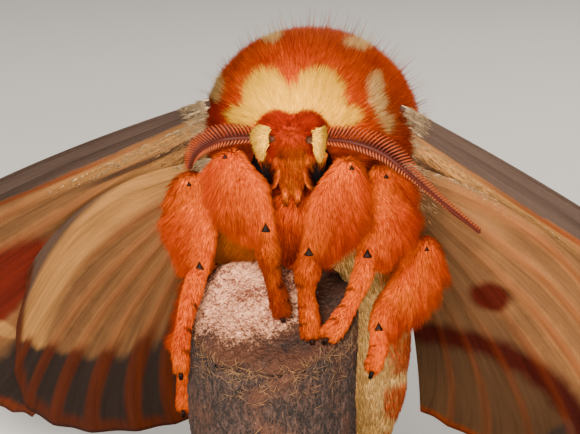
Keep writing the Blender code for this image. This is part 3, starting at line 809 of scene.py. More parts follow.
@dataclass
class Tufts:
    """Roots of a coat with all that its tufts need, one row for each."""

    place: Array
    normal: Array
    lie: Array
    length: Array
    width: Array
    lift: Array
    unwrap: Array
    cream: Array
    deep: Array
    dark: Array

    def pick(self, keep: Array) -> "Tufts":
        """The chosen rows alone."""
        return Tufts(**{word: rows[keep] for word, rows in vars(self).items()})

    def set(self, **given: Array | float | tuple) -> None:
        """Sets fields by name, each with one value for all tufts or one a tuft."""
        for word, value in given.items():
            setattr(self, word, np.zeros_like(getattr(self, word)) + value)

    @staticmethod
    def joined(groups: Iterable["Tufts"]) -> "Tufts":
        """Several sets in one."""
        sets = [vars(group) for group in groups]
        return Tufts(**{word: np.concatenate([rows[word] for rows in sets]) for word in sets[0]})

    @classmethod
    def plain(cls, roots: Rows, cell: tuple[float, float, float, float]) -> "Tufts":
        """Tufts with no markings yet, their unwrap laid in one cell of the map.

        Args:
            roots: What a tube or ball scattered.
            cell: The cell's left, foot, width and height, each a share of the map.

        Returns:
            The tufts, 1 mm long and 0.1 mm wide.
        """
        across = cell[0] + cell[2] * (0.02 + 0.96 * roots["angle"] / math.tau)
        up = cell[1] + cell[3] * (0.02 + 0.96 * roots["share"])
        blank = np.zeros(len(across))
        return cls(
            roots["place"], roots["normal"], roots["ahead"], blank + 1.0, blank + 0.1, blank + 0.3,
            np.stack([across, up], axis=1), blank, blank, blank,
        )


@dataclass(frozen=True)
class TuftStyle:
    """How a set of tufts is cut and clumped."""

    levels: tuple[float, ...] = (0.0,)
    sides: int = 3
    flat: float = 0.5
    bend: float = 0.25
    scatter: float = 0.12
    clump: float = 0.35
    clump_size: int = 14
    seed: int = 1

    def grow(self, name: str, tufts: Tufts) -> Thing:
        """Builds one coat piece as solid, tapered tufts.

        Args:
            name: The piece's name.
            tufts: Its roots.

        Returns:
            The object, with its markings and its baking map stored.
        """
        draw = np.random.default_rng(self.seed)
        count = len(tufts.place)
        lie = tufts.lie + draw.normal(size=(count, 3)) * self.scatter
        lie = unit(lie - tufts.normal * (lie * tufts.normal).sum(axis=1)[:, None])
        lift = (tufts.lift * draw.uniform(0.8, 1.2, count))[:, None]
        length = (tufts.length * draw.uniform(0.78, 1.1, count))[:, None]
        along = lie * np.cos(lift) + tufts.normal * np.sin(lift)
        across = unit(np.cross(along, tufts.normal))
        out = np.cross(across, along)
        tip = tufts.place + along * length - out * length * self.bend
        pull = self._pull(tufts.place, tip, draw)
        shade = np.clip(draw.normal(0.5, 0.25, count), 0, 1)
        rings = []
        marks = []
        for level in (*self.levels, 1.0):
            spine = tufts.place - tufts.normal * 0.05 + along * length * level
            spine = spine - out * length * self.bend * level ** 2 + pull * level ** 1.6
            radius = tufts.width[:, None] * (0.5 if level < 1 else 0.0) * (1 - 0.55 * level ** 2)
            turns = range(self.sides) if level < 1 else (0,)
            for turn in turns:
                angle = math.tau * turn / self.sides
                side = across * math.cos(angle) + out * math.sin(angle) * self.flat
                rings.append(spine + side * radius)
                marks.append((level, turn / max(self.sides - 1, 1) if level < 1 else 0.5))
        each = len(rings)
        points = np.stack(rings, axis=1).reshape(-1, 3)
        faces = (self._faces()[None] + (np.arange(count) * each)[:, None, None]).reshape(-1, 3)
        mesh = make_mesh(name, points, faces)
        spread = np.array([(turn - 0.5, level - 0.5) for level, turn in marks]) * UV_PATCH
        maps = (tufts.unwrap[:, None] + spread[None]).reshape(-1, 2)
        layer = mesh.uv_layers.new(name="OFBake")
        layer.data.foreach_set("uv", maps[faces.ravel()].astype(np.float32).ravel())
        set_numbers(mesh, "root", np.repeat(tufts.place, each, axis=0))
        set_numbers(mesh, "tip", np.tile([level for level, _ in marks], count))
        marks = {"cream": tufts.cream, "deep": tufts.deep, "dark": tufts.dark, "shade": shade}
        for word, rows in marks.items():
            set_numbers(mesh, word, np.repeat(rows, each))
        return make_object(name, mesh)

    def _pull(self, places: Array, tips: Array, draw: Chance) -> Array:
        """How far each tip leans to the tip of the tuft that leads its clump.

        Args:
            places: The roots.
            tips: The tips.
            draw: The source of chance.

        Returns:
            One move for each tip.
        """
        leaders = draw.choice(len(places), max(len(places) // self.clump_size, 1), replace=False)
        tree = KDTree(len(leaders))
        for number, leader in enumerate(leaders):
            tree.insert(places[leader], number)
        tree.balance()
        nearest = leaders[[tree.find(place)[1] for place in places]]
        return (tips[nearest] - tips) * self.clump

    def _faces(self) -> Array:
        """The triangles of one tuft.

        Returns:
            One row a point.
        """
        made = []
        for ring in range(len(self.levels)):
            for side in range(self.sides):
                after = (side + 1) % self.sides
                a, b = ring * self.sides + side, ring * self.sides + after
                if ring + 1 < len(self.levels):
                    made += [(a, b, b + self.sides), (a, b + self.sides, a + self.sides)]
                else:
                    made.append((a, b, (ring + 1) * self.sides))
        return np.array(made)


class SkinSurface:
    """The one skin under the coat, and the way to set roots on it."""

    VOXEL = 0.24
    SMOOTHING = 6

    def __init__(self, shells: Iterable[Shape]) -> None:
        """Fuses closed shells into one skin.

        Args:
            shells: Points and quads of each shape of the body.
        """
        thing = make_object("moth_skin", make_mesh("moth_skin", *fused(shells)))
        remesh = thing.modifiers.new("fuse", "REMESH")
        remesh.mode = "VOXEL"
        remesh.voxel_size = self.VOXEL * MM
        relax = thing.modifiers.new("relax", "SMOOTH")
        relax.iterations = self.SMOOTHING
        bpy.context.view_layer.update()
        reader = bpy.context.evaluated_depsgraph_get()
        thing.data = bpy.data.meshes.new_from_object(thing.evaluated_get(reader))
        thing.modifiers.clear()
        thing.data.shade_smooth()
        self.thing = thing
        flat = np.zeros(len(thing.data.vertices) * 3, np.float32)
        thing.data.vertices.foreach_get("co", flat)
        self.points = flat.reshape(-1, 3) / MM - HEAD_PLACE
        corners = [tuple(face.vertices) for face in thing.data.polygons]
        self.tree = BVHTree.FromPolygons([tuple(point) for point in self.points], corners)

    def settle(self, tufts: Tufts, reach: float = 0.45) -> Tufts:
        """Sets roots on the skin, dropping those whose own surface lies hidden inside it.

        Args:
            tufts: The roots as scattered.
            reach: How far a root may lie from the skin, in millimetres.

        Returns:
            The tufts that stay, with the skin's normals.
        """
        keep = np.zeros(len(tufts.place), bool)
        for number, place in enumerate(tufts.place):
            spot, normal, _, distance = self.tree.find_nearest(Vector(place))
            if distance < reach and np.dot(normal, tufts.normal[number]) > 0.2:
                keep[number] = True
                tufts.place[number] = spot
                tufts.normal[number] = normal
        return tufts.pick(keep)

    def rooted(
        self, shape: Tube | Ball, count: int, draw: Chance, cell: tuple, reach: float = 0.45,
    ) -> Tufts:
        """Scatters roots over a tube or ball and sets them on the skin.

        Args:
            shape: The tube or ball.
            count: How many roots are scattered.
            draw: The seeded source of chance.
            cell: The cell of the map for their unwrap.
            reach: How far a root may lie from the skin, in millimetres.

        Returns:
            The tufts that stay.
        """
        return self.settle(Tufts.plain(shape.scatter(count, draw), cell), reach)


def seen_flat(places: Array) -> Array:
    """Places as the viewer sees them, in millimetres to the right and up."""
    return np.stack([places @ VIEW_RIGHT, places @ VIEW_UP], axis=1)


def oval(flat: Array, centre: tuple[float, float], radii: tuple[float, float], soft: float = 0.12) -> Array:
    """1 inside an oval of the viewer's plane and 0 outside it, with a soft rim."""
    away = np.linalg.norm((flat - np.array(centre)) / np.array(radii), axis=1)
    return 1 - ramp(away, 1 - soft, 1 + soft)


@dataclass
class Thorax:
    """The plush thorax: its ball, its long radiating coat and its cream collar."""

    centre: tuple = (0.2, 9.6, 0.7)
    core: tuple = (7.9, 8.6, 7.2)
    pitch: float = 27.0
    roots: int = 190000
    sectors: int = 6
    chest: tuple = (
        ((0.0, 3.4, -6.1), (3.2, 2.6, 3.3)), ((-5.2, 4.7, -7.8), (2.3, 2.2, 2.2)),
        ((3.6, 6.2, -5.4), (3.2, 3.0, 2.4)),
    )
    chest_roots: int = 12000
    strays: int = 1500
    collar: tuple = (
        ((-2.25, 5.2), (1.95, 2.4)), ((2.2, 5.1), (2.3, 2.6)), ((-3.9, 3.7), (1.7, 0.95)),
        ((4.2, 3.6), (1.7, 1.0)), ((0.0, 4.3), (1.5, 2.0)),
    )
    stripes: tuple = (
        ((-6.4, 6.4), (0.6, 1.5)), ((7.0, 5.8), (0.6, 1.7)), ((7.5, 4.2), (0.5, 1.2)),
        ((8.1, 3.0), (0.4, 0.9)),
    )
    notch: tuple = ((-0.1, 7.5), (0.7, 1.3))
    puff: tuple = ((-6.4, 3.9), (1.0, 1.3))
    top_marks: tuple = (((-1.7, 10.6), (1.0, 0.7)), ((5.6, 9.9), (1.2, 0.6)))

    def ball(self) -> Ball:
        """The thorax inside its coat."""
        return Ball(self.centre, self.core, Matrix.Rotation(math.radians(-self.pitch), 3, "X"))

    def marks(self, places: Array) -> Rows:
        """The cream and deep red markings at places on the thorax.

        Args:
            places: Points in millimetres.

        Returns:
            The cream, deep and dark shares.
        """
        flat = seen_flat(places)
        ahead = ramp((places - np.array(self.centre)) @ TOWARDS_VIEW, -3.0, 1.0)
        cream = np.max([oval(flat, *patch) for patch in self.collar], axis=0) * ahead
        cream = cream * (1 - oval(flat, *self.notch))
        pale = 1 - ramp(cream, 0.2, 0.5)
        for patch in (*self.stripes, *self.top_marks):
            cream = np.maximum(cream, oval(flat, *patch, 0.2))
        low = ramp(places[:, 2], 2.0, -4.0)
        back = ramp(places[:, 1], 10.0, 16.0)
        aside = np.stack([np.abs(places[:, 0]) - 3.6, places[:, 1] - 13], axis=1)
        stripe = oval(aside, (0, 0), (0.9, 7.0), 0.2)
        cream = np.maximum(cream, stripe * back * ramp(places[:, 2], 2.0, 4.0))
        edge = np.clip(ripple(places, 0.35, 5) * 0.5 + 0.2, 0, 1)
        deep = np.clip(0.06 + 0.5 * low + 0.4 * edge * (1 - cream) + oval(flat, *self.puff, 0.3), 0, 1)
        deep = deep * (1 - cream) + cream * pale
        return {"cream": cream, "deep": deep, "dark": np.zeros(len(places))}

    def coat(self, skin: SkinSurface, finish: Material) -> None:
        """Grows the coat in sectors round the neck.

        Args:
            skin: The one skin.
            finish: Its material.
        """
        draw = np.random.default_rng(11)
        tufts = skin.rooted(self.ball(), self.roots, draw, (0, 0, 1, 0.9))
        centre = np.array(self.centre)
        neck = unit(-centre)
        ray = unit(tufts.place - centre)
        back = ray * (ray @ neck)[:, None] - neck
        back = back + np.stack([ripple(tufts.place, 0.5, seed) for seed in (21, 22, 23)], axis=1) * 0.16
        tufts.lie = unit(back - tufts.normal * (back * tufts.normal).sum(axis=1)[:, None])
        degrees = np.degrees(np.arccos(np.clip(ray @ neck, -1, 1)))
        tufts.set(
            length=2.0 + 0.8 * ramp(degrees, 40, 120), width=0.095,
            lift=np.radians(46 - 12 * ramp(degrees, 50, 120)),
        )
        reach = tufts.length[:, None] * (tufts.lie * 0.6 + tufts.normal * 0.45)
        tufts.set(**self.marks(tufts.place + reach + draw.normal(size=reach.shape) * 0.12))
        tufts.cream = ramp(tufts.cream, 0.38, 0.62)
        side = unit(np.cross(neck, (0, 0, 1)))
        top = np.cross(side, neck)
        turn = np.arctan2(ray @ top, ray @ side) % math.tau
        style = TuftStyle(clump=0.3, clump_size=14, bend=0.1, scatter=0.16, seed=31)
        for number in range(self.sectors):
            inside = np.floor(turn / math.tau * self.sectors) == number
            install(style.grow(f"coat_thorax_{number}", tufts.pick(inside)), finish, "thorax_fur")
        fringe = [self._chest(skin, draw, number) for number in range(len(self.chest))]
        fringe = Tufts.joined([*fringe, self._stray(tufts.pick(degrees > 75), draw)])
        style = TuftStyle(clump=0.2, clump_size=10, bend=0.14, scatter=0.16, seed=36)
        install(style.grow("coat_chest", fringe), finish, "thorax_fur")

    def _chest(self, skin: SkinSurface, draw: Chance, number: int) -> Tufts:
        """Long fur that hangs from the chest between the legs, and browner fur behind them.

        Args:
            skin: The one skin.
            draw: The source of chance.
            number: Which of the chest's balls.

        Returns:
            The dressed tufts.
        """
        tufts = skin.rooted(Ball(*self.chest[number]), self.chest_roots, draw, (number / 3, 0.9, 1 / 3, 0.1))
        wide = ramp(np.abs(tufts.place[:, 0]), 1.6, 3.0)
        tufts.set(
            lie=unit(tufts.place * np.array((0.1, 0, 0)) + np.array((0, -0.15, -1.0))), length=2.1, width=0.1,
            lift=0.3, deep=0.1, cream=(0.22 if number else 0.12) * wide, dark=0.55 if number else 0.0,
        )
        return tufts

    def _stray(self, tufts: Tufts, draw: Chance) -> Tufts:
        """A few long thin hairs that stand out of the plush round its rim.

        Args:
            tufts: The tufts it picks from.
            draw: The source of chance.

        Returns:
            The strays.
        """
        few = tufts.pick(draw.choice(len(tufts.place), self.strays, replace=False))
        few.set(
            length=few.length * draw.uniform(1.05, 1.9, self.strays), lift=few.lift * 1.5, width=0.062,
            dark=draw.uniform(0.0, 0.5, self.strays),
        )
        return few


@dataclass
class Head:
    """The head: skull, narrowing face, crown, feeler tufts, palps and eyes."""

    skull: tuple = ((0.0, 0.5, 0.0), (2.3, 2.3, 2.6))
    face_top: float = 4.0
    face_foot: float = 2.0
    face_height: float = 4.3
    face_front: float = -3.0
    face_middle: float = -0.1
    crown: tuple = ((1.0, -0.8, 2.2), (1.35, 1.5, 1.3))
    brow: tuple = ((0.2, -2.3, 2.0), (1.15, 0.6, 0.85))
    crown_focus: tuple = (0.2, -2.6, 2.6)
    scapes: tuple = (
        (
            ((-1.5, -3.0, 2.9), (-1.6, -3.0, 2.4), (-1.7, -3.0, 1.7)),
            ((-2.2, -3.3, 3.3), (-2.7, -3.3, 2.8), (-2.8, -3.3, 2.2), (-2.6, -3.3, 1.5), (-2.3, -3.3, 0.9),
             (-2.0, -3.3, 0.4)),
        ),
        (
            ((2.4, -3.0, 2.9), (2.3, -3.0, 2.4), (2.4, -3.0, 1.7)),
            ((3.1, -3.3, 3.3), (3.2, -3.3, 2.8), (3.2, -3.3, 2.3), (3.1, -3.3, 1.6), (3.0, -3.3, 0.9),
             (2.8, -3.3, 0.4)),
        ),
    )
    sockets: tuple = ((-1.2, -2.8, 2.1), (1.9, -2.8, 2.1))
    eye: tuple = ((2.25, -0.45, -0.75), (1.15, 1.65, 1.8))
    palp: tuple = ((0.5, -1.75, -2.9), (0.34, 0.47, 0.7))
    face_roots: int = 15000
    skull_roots: int = 7000
    brow_roots: int = 3600
    crown_roots: int = 6500
    palp_roots: int = 1800
    scape_roots: int = 4200
    lashes: int = 200

    def wedge(self, shrink: float = 0.0) -> Tube:
        """The face as a short tube that narrows downwards, less what the caller takes off its width.

        Args:
            shrink: What comes off each side.

        Returns:
            The tube.
        """
        y = self.face_front + self.face_top / 2
        foot, top = self.face_middle - self.face_height / 2, self.face_middle + self.face_height / 2
        rows = []
        for share in (0.0, 0.35, 0.7, 1.0):
            half = (self.face_foot + (self.face_top - self.face_foot) * share) / 2 - shrink
            rows.append((0.0, y, foot + (top - foot) * share, half, half))
        rows = np.array(rows)
        rows[:, :3] = head_turned(rows[:, :3])
        return Tube(rows, round_share=0.25)

    def shells(self) -> list[Shape]:
        """The head's shapes for the one skin.

        Returns:
            Points and quads of each.
        """
        shapes = [Ball.on_head(*self.skull).shell(), self.wedge(0.04).shell(), Ball(*self.brow).shell(24, 14)]
        for sign in (-1, 1):
            shapes.append(Ball.on_head(*self.crown, sign).shell(24, 14))
            shapes.append(Ball.on_head(*self.palp, sign).shell(20, 12))
        return shapes

    def coat(self, skin: SkinSurface, finish: Material) -> None:
        """Grows the face, crown, palps and the two cream tufts.

        Args:
            skin: The one skin.
            finish: Its material.
        """
        draw = np.random.default_rng(12)
        groups = [self._face(skin, draw), self._skull(skin, draw), self._brow(skin, draw)]
        for grow in (self._crown, self._palp):
            groups += [grow(skin, draw, sign) for sign in (-1, 1)]
        for grow in (self._scape, self._lashes):
            groups += [grow(draw, sign) for sign in (-1, 1)]
        style = TuftStyle(clump=0.15, clump_size=10, bend=0.08, scatter=0.09, seed=32)
        install(style.grow("coat_head", Tufts.joined(groups)), finish, "head_fur")

    def _face(self, skin: SkinSurface, draw: Chance) -> Tufts:
        """Short coarse fur that points down the face.

        Args:
            skin: The one skin.
            draw: The source of chance.

        Returns:
            The dressed tufts.
        """
        tufts = skin.rooted(self.wedge(0.04), self.face_roots, draw, (0, 0, 0.5, 0.5))
        top = ramp(tufts.place[:, 2], 1.1, 2.1)
        tufts.set(
            lie=unit(tufts.place * np.array((0.08, 0, 0)) + np.array((0, -0.25, -1.0))),
            length=0.66 * ramp(tufts.normal @ TOWARDS_VIEW, -0.7, 0.6), width=0.07, lift=0.45,
            deep=np.clip(0.25 * ripple(tufts.place, 0.9, 3) - 0.1 + 0.7 * top, 0, 1),
            dark=0.5 * (draw.uniform(0, 1, len(top)) > 0.9),
        )
        return tufts

    def _skull(self, skin: SkinSurface, draw: Chance) -> Tufts:
        """Fur on the rest of the head, brushed back and down.

        Args:
            skin: The one skin.
            draw: The source of chance.

        Returns:
            The dressed tufts.
        """
        tufts = skin.rooted(Ball.on_head(*self.skull), self.skull_roots, draw, (0.5, 0, 0.5, 0.5))
        # The fur round the eyes is darkened with painted shade.
        tufts.set(
            lie=unit(tufts.place * np.array((0.5, 0, 0)) + np.array((0, 0.6, -0.7))),
            length=0.95, width=0.085, lift=0.5, deep=0.5, dark=self.gloom(tufts.place),
        )
        return tufts

    def _brow(self, skin: SkinSurface, draw: Chance) -> Tufts:
        """Deep red fur that falls from the crown onto the face.

        Args:
            skin: The one skin.
            draw: The source of chance.

        Returns:
            The dressed tufts.
        """
        tufts = skin.rooted(Ball(*self.brow), self.brow_roots, draw, (0.25, 0.75, 0.25, 0.25), 0.6)
        aside = seen_flat(tufts.place - np.array(self.brow[0]))[:, :1]
        middle = self.brow[0][2]
        tufts.set(
            lie=unit(aside * 0.35 * VIEW_RIGHT - VIEW_UP + 0.2 * TOWARDS_VIEW),
            length=0.95, width=0.075, lift=0.6,
            deep=0.45 + 0.45 * ramp(tufts.place[:, 2], middle - 0.5, middle + 0.4),
            dark=draw.uniform(0.1, 0.75, len(aside)),
        )
        return tufts

    def gloom(self, places: Array) -> Array:
        """Painted shade round the eyes: how dark the fur there is made, from 0 to 0.85."""
        centres = [Ball.on_head(*self.eye, sign).centre for sign in (-1, 1)]
        away = np.min([np.linalg.norm(places - centre, axis=1) for centre in centres], axis=0)
        return 0.85 * (1 - ramp(away, 1.8, 2.4))

    def _crown(self, skin: SkinSurface, draw: Chance, sign: int) -> Tufts:
        """The deep red tuft that fans up from one lobe of the crown.

        Args:
            skin: The one skin.
            draw: The source of chance.
            sign: The side, as -1 or 1.

        Returns:
            The dressed tufts.
        """
        cell = (0.25 * (sign + 1), 0.5, 0.25, 0.25)
        tufts = skin.rooted(Ball.on_head(*self.crown, sign), self.crown_roots, draw, cell, 0.7)
        flat = seen_flat(tufts.place - np.array(self.crown_focus))
        fan = unit(flat * np.array((1.0, 0.85)) + np.array((0, 0.25)))
        away = ramp(np.linalg.norm(flat, axis=1), 0.2, 1.6)
        tufts.set(
            lie=fan[:, :1] * VIEW_RIGHT + fan[:, 1:] * VIEW_UP + 0.3 * TOWARDS_VIEW, length=0.85 + 0.4 * away,
            width=0.075, lift=0.6 + 0.15 * away, deep=1.0,
            dark=draw.uniform(0.1, 0.5, len(away)) * (1.1 - 0.7 * away),
        )
        return tufts

    def _palp(self, skin: SkinSurface, draw: Chance, sign: int) -> Tufts:
        """Very short fur on one palp.

        Args:
            skin: The one skin.
            draw: The source of chance.
            sign: The side, as -1 or 1.

        Returns:
            The dressed tufts.
        """
        cell = (0.25 * (sign + 1), 0.75, 0.25, 0.25)
        tufts = skin.rooted(Ball.on_head(*self.palp, sign), self.palp_roots, draw, cell, 0.5)
        shadow = 1 - ramp(tufts.normal @ TOWARDS_VIEW, 0.25, 0.6)
        tufts.set(lie=(0.0, -0.3, -1.0), length=0.42, width=0.07, deep=0.15, dark=0.85 * shadow)
        return tufts

    def _scape(self, draw: Chance, sign: int) -> Tufts:
        """The cream tuft that hangs from one feeler's base.

        Args:
            draw: The source of chance.
            sign: The side, as -1 or 1.

        Returns:
            The dressed tufts.
        """
        count = self.scape_roots
        share = draw.uniform(0, 1, count)
        start, end = (
            read_rows(share, np.linspace(0, 1, len(rows)), np.array(rows))
            for rows in self.scapes[(sign + 1) // 2]
        )
        start = start + draw.normal(size=(count, 3)) * np.array((0.1, 0.16, 0.1))
        end = end + draw.normal(size=(count, 3)) * 0.07
        end = end + (end - start) * (draw.uniform(0, 1, (count, 1)) > 0.8) * 0.13
        start = start + (end - start) * draw.uniform(0, 0.6, (count, 1))
        way = end - start
        roots = {
            "place": start, "normal": np.tile(TOWARDS_VIEW, (count, 1)), "ahead": unit(way), "share": share,
            "angle": share * math.tau,
        }
        tufts = Tufts.plain(roots, (0.25 + 0.25 * (sign + 1), 0.5, 0.25, 0.25))
        tufts.set(length=np.linalg.norm(way, axis=1), width=0.09, lift=0.1, cream=1.0)
        return tufts

    def _lashes(self, draw: Chance, sign: int) -> Tufts:
        """Stray hairs that lie across one eye from its inner and upper rim.

        Args:
            draw: The source of chance.
            sign: The side, as -1 or 1.

        Returns:
            The dressed tufts.
        """
        count = self.lashes
        turn = draw.uniform(0.3, 1.25, count) * math.pi
        (x, y, z), (wide, deep, high) = self.eye
        cos, sin, flat = np.cos(turn), np.sin(turn), np.ones(count)
        rim = [(x + cos * wide * 1.12) * sign, flat * (y - deep * 1.02), z + sin * high * 1.02]
        across = np.stack([-cos * 0.6 * sign, flat * -0.2, -0.55 - 0.4 * sin], axis=1)
        roots = {
            "place": head_turned(np.stack(rim, axis=1)),
            "normal": np.tile(head_turned((0.2 * sign, -1.0, 0.0)), (count, 1)),
            "ahead": unit(head_turned(across)), "share": draw.uniform(0, 1, count), "angle": turn,
        }
        tufts = Tufts.plain(roots, (0.75 + 0.125 * (sign + 1) / 2, 0.75, 0.125, 0.25))
        tufts.set(
            length=draw.uniform(0.9, 1.9, count), width=0.05, lift=0.12, deep=0.2,
            dark=draw.uniform(0.0, 0.45, count),
        )
        return tufts

    def eyes(self, finish: Material) -> None:
        """Two smooth glossy eyes in place of the solids' coarser ones."""
        for side in Side:
            points, faces = Ball.on_head(*self.eye, side.value).shell(48, 28)
            eye = make_object(f"eye_gloss_{side.word}", make_mesh("eye", points, faces))
            install(eye, finish, "eye", f"eye_{side.word}")

    def joints(self, finish: Material) -> None:
        """The two bare glossy knobs that the feelers turn on."""
        for side, place in zip(Side, self.sockets):
            points, faces = Ball(place, (0.4, 0.3, 0.32)).shell(24, 14)
            knob = make_object(f"socket_{side.word}", make_mesh("socket", points, faces))
            install(knob, finish, "antenna")


@dataclass
class Leg:
    """One leg: upper length, shank with its long fringe, and foot with rings and claws."""

    name: str
    femur: Stations
    tibia: Stations
    tarsus: Stations
    core: float = 0.74
    depth: float = 0.3
    counts: tuple = (3600, 21000, 7600)

    @property
    def sign(self) -> int:
        """The sign of X on the leg's side."""
        return -1 if "left" in self.name else 1

    def tubes(self) -> tuple[Tube, Tube, Tube]:
        """The three lengths inside their coat.

        Returns:
            The femur, the tibia and the tarsus.
        """
        rows = np.array(self.tibia)
        last = len(rows) - 1
        core = []
        for number, row in enumerate(rows):
            share = 1.0 if number in (0, last) else self.core
            way = unit(rows[min(number + 1, last), :3] - rows[max(number - 1, 0), :3])
            outer = np.cross(way, unit(LIMB_FACING - way * (way @ LIMB_FACING)))
            outer = outer * math.copysign(1.0, outer[0] * self.sign)
            core.append((*(row[:3] - outer * row[3] * (1 - share)), row[3] * share, row[4] * share))
        return Tube(self.femur, -self.depth), Tube(core), Tube(self.tarsus, -self.depth * 0.35)

    def shells(self) -> list[Shape]:
        """The leg's shapes for the one skin."""
        return [tube.shell() for tube in self.tubes()]

    def coat(self, skin: SkinSurface, finish: Material) -> None:
        """Grows the whole leg's coat as one piece.

        Args:
            skin: The one skin.
            finish: Its material.
        """
        draw = np.random.default_rng(sum(ord(letter) for letter in self.name))
        groups = []
        dresses = (None, self._dress_shank, self._dress_foot)
        for number, (tube, dress, count) in enumerate(zip(self.tubes(), dresses, self.counts)):
            roots = tube.scatter(count, draw)
            tufts = Tufts.plain(roots, (0.0, number / 3, 1.0, 1 / 3))
            tufts.set(length=0.95, width=0.09, lift=0.4, deep=0.35)
            if dress:
                dress(tufts, roots, tube)
            groups.append(skin.settle(tufts, 0.5))
        style = TuftStyle(clump=0.2, clump_size=9, bend=0.05, scatter=0.09, seed=33)
        install(style.grow(f"coat_{self.name}", Tufts.joined(groups)), finish, "leg_fur")

    def _outwards(self, roots: Rows, tube: Tube) -> Array:
        """The way to the leg's outer side at each root."""
        outer = unit(tube.at(roots["share"], tube.across))
        return outer * np.where(outer[:, :1] * self.sign > 0, 1.0, -1.0)

    def _outer(self, roots: Rows, tube: Tube) -> Array:
        """How far each root faces the leg's outer side, from -1 to 1."""
        return (roots["normal"] * self._outwards(roots, tube)).sum(axis=1)

    def _dress_shank(self, tufts: Tufts, roots: Rows, tube: Tube) -> None:
        """Sleek bright fur on the shank's inner front, and a long fringe down its outer side.

        Args:
            tufts: The tufts it sets.
            roots: What the tube scattered.
            tube: The length of leg they grow on.
        """
        outer = self._outer(roots, tube)
        fringe = ramp(outer, 0.05, 0.95)
        ends = ramp(roots["share"], 0.0, 0.12) * (1 - ramp(roots["share"], 0.75, 1.02))
        tufts.set(
            lie=unit(tufts.lie + self._outwards(roots, tube) * 0.6), length=0.9 + (1.7 * fringe) * ends,
            lift=0.38 + (0.32 + 0.2 * ripple(tufts.place, 4.0, 12)) * fringe * ends, width=0.082,
            deep=np.clip(0.6 * ramp(outer, -0.1, 0.9) + 0.16 * ripple(tufts.place, 0.5, 8), 0, 1),
            dark=0.5 * (1 - ramp(roots["share"], 0.02, 0.07)),
        )

    def _dress_foot(self, tufts: Tufts, roots: Rows, tube: Tube) -> None:
        """Short fur on the foot, with dark rings where its joints are.

        Args:
            tufts: The tufts it sets.
            roots: What the tube scattered.
            tube: The length of leg they grow on.
        """
        rings = [1 - ramp(np.abs(roots["share"] - middle), 0.01, 0.024) for middle in (0.4, 0.62, 0.8)]
        inner = ramp(-self._outer(roots, tube), -0.1, 0.5)
        tufts.set(
            length=0.72, width=0.08, lift=0.45, dark=np.max(rings, axis=0) * 0.8 * inner,
            deep=np.clip(0.04 + 0.16 * ripple(tufts.place, 0.8, 9), 0, 1),
        )

    def shell_marks(self, finish: Material) -> None:
        """The bare dark plates at the shank's two ends and the two hooked claws on the foot.

        Args:
            finish: Its material.
        """
        _, shank, foot = self.tubes()
        plates = [self._plate(shank, 5, 0.24), self._plate(shank, -3, 0.42)]
        mesh = make_mesh("claws", *fused([*plates, *(self._claw(foot, sign) for sign in (-1, 1))]))
        shell = make_object(f"claws_{self.name}", mesh)
        install(shell, finish, "leg_fur")

    @staticmethod
    def _plate(shank: Tube, station: int, size: float) -> Shape:
        """A small dark three-cornered plate on the front of the shank, pointing up it.

        Args:
            shank: The shank.
            station: Which sample it sits on.
            size: Its size in millimetres.

        Returns:
            Points and quads.
        """
        spot = shank.places[station] + shank.depth[station] * (shank.deep[station] + 0.3)
        rows = []
        for rise, wide, deep in ((1.0, 0.12, 0.15), (0.3, 0.5, 0.32), (-0.4, 0.95, 0.3)):
            rows.append((*(spot + VIEW_UP * size * rise), size * wide, size * deep))
        return Tube(rows, steps=4).shell(10)

    @staticmethod
    def _claw(foot: Tube, sign: int) -> Shape:
        """One curved claw at the foot's end.

        Args:
            foot: The foot's tube.
            sign: The side, as -1 or 1.

        Returns:
            Points and quads.
        """
        end, ahead = foot.places[-1], foot.ahead[-1]
        across, depth = foot.across[-1], foot.depth[-1]
        wide = foot.wide[-1]
        rows = []
        for share, size in ((0.0, 0.17), (0.4, 0.14), (0.75, 0.1), (1.0, 0.05)):
            side = across * sign * wide * (0.45 + 0.35 * math.sin(share * 2.2))
            reach = ahead * (0.25 + 0.75 * share - 0.35 * share ** 2)
            hook = depth * (0.3 - 0.75 * share ** 2)
            rows.append((*(end + side + reach + hook), size, size))
        return Tube(rows, steps=4).shell(8)


